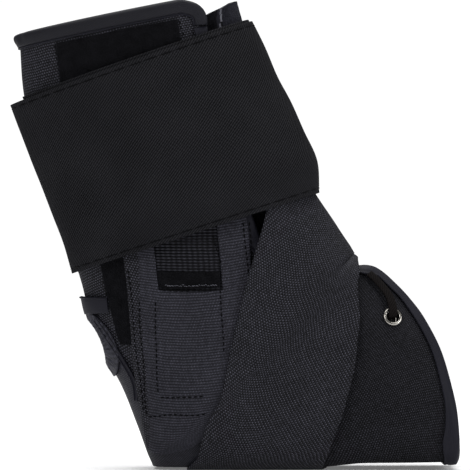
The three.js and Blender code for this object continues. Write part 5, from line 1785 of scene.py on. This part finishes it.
@dataclass
class Studio:
    """Pale round floor, white surround, soft lights, and a camera square to the side."""

    distance: float = 2.4
    reach: float = 1.4
    fill: float = 0.12
    white: float = 1.05
    lift: float = 0.15
    paper: str = "f4f4f5"

    def floor(self) -> None:
        """Round sheet of pale paper on the ground."""
        angle = np.linspace(0, 2 * math.pi, 97)[:-1]
        points = [(self.reach * math.cos(a), self.reach * math.sin(a), 0.0) for a in angle]
        mesh = bpy.data.meshes.new("paper_floor")
        mesh.from_pydata(points, [], [list(range(len(points)))])
        paper = bpy.data.objects.new("paper_floor", mesh)
        bpy.context.scene.collection.objects.link(paper)
        made = bpy.data.materials.new("studio_paper")
        made.use_nodes = True
        body = made.node_tree.nodes["Principled BSDF"]
        body.inputs["Base Color"].default_value = to_linear(self.paper)
        body.inputs["Roughness"].default_value = 0.9
        body.inputs["Emission Color"].default_value = (1.0, 1.0, 1.0, 1.0)
        body.inputs["Emission Strength"].default_value = self.lift
        mesh.materials.append(made)

    def surround(self) -> None:
        """White room behind the brace as it is seen, that lights the brace only a little."""
        world = bpy.data.worlds.new("studio")
        bpy.context.scene.world = world
        world.use_nodes = True
        tree = world.node_tree
        seen = add_node(tree, "ShaderNodeLightPath", {}, {}).outputs["Is Camera Ray"]
        strength = add_node(tree, "ShaderNodeMapRange", {},
                            {"Value": seen, "To Min": self.fill, "To Max": self.white})
        background = tree.nodes["Background"]
        background.inputs["Color"].default_value = (1.0, 1.0, 1.0, 1.0)
        tree.links.new(strength.outputs["Result"], background.inputs["Strength"])

    def light(self, name: str, place: tuple, size: float, power: float) -> None:
        """One soft light that looks at the brace.

        Args:
            name: the light's name.
            place: where it stands, metres.
            size: its side, metres.
            power: watts.
        """
        data = bpy.data.lights.new(name, "AREA")
        data.shape = "SQUARE"
        data.size = size
        data.energy = power
        lamp = bpy.data.objects.new(name, data)
        lamp.location = place
        target = np.array([0.0, 0.0, 0.12]) - np.array(place)
        lean = math.atan2(math.hypot(target[0], target[1]), -target[2])
        lamp.rotation_euler = (lean, 0.0, math.atan2(target[1], target[0]) - math.pi / 2)
        bpy.context.scene.collection.objects.link(lamp)

    def camera(self) -> None:
        """Long lens level with the middle of the brace."""
        data = bpy.data.cameras.new("camera")
        data.sensor_width = 36.0
        data.lens = 36.0 * self.distance / (PHOTO_SIDE * PHOTO_SCALE * 0.001)
        data.clip_end = 20.0
        camera = bpy.data.objects.new("camera", data)
        across = (PHOTO_SIDE / 2 - PHOTO_LEFT - PHOTO_LONG / 2) * PHOTO_SCALE * 0.001
        up = (PHOTO_GROUND - PHOTO_SIDE / 2) * PHOTO_SCALE * 0.001
        camera.location = (across, -self.distance, up)
        camera.rotation_euler = (math.pi / 2, 0.0, 0.0)
        bpy.context.scene.collection.objects.link(camera)
        bpy.context.scene.camera = camera

    def build(self) -> None:
        """Set the studio up."""
        self.floor()
        self.surround()
        self.light("ceiling_softbox", (0.0, 0.5, 2.6), 3.0, 100.0)
        self.light("key_softbox", (-0.9, -1.5, 1.2), 0.9, 14.0)
        self.light("front_softbox", (1.4, -0.9, 0.8), 0.7, 12.0)
        self.camera()
        bpy.context.scene.view_settings.view_transform = "Standard"


def main() -> None:
    """Build the brace and the studio, in order."""
    logging.basicConfig(level=logging.INFO, format="%(message)s")
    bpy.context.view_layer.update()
    seams = Seams()
    for side in Side:
        Quarter(side).build()
    for side in Side:
        SideDressing(side, seams).build()
    Tapes().build()
    Straps().build()
    Cuff(seams).build()
    Tongue().build()
    Lacing().build()
    seams.finish()
    Studio().build()


if __name__ == "__main__":
    main()
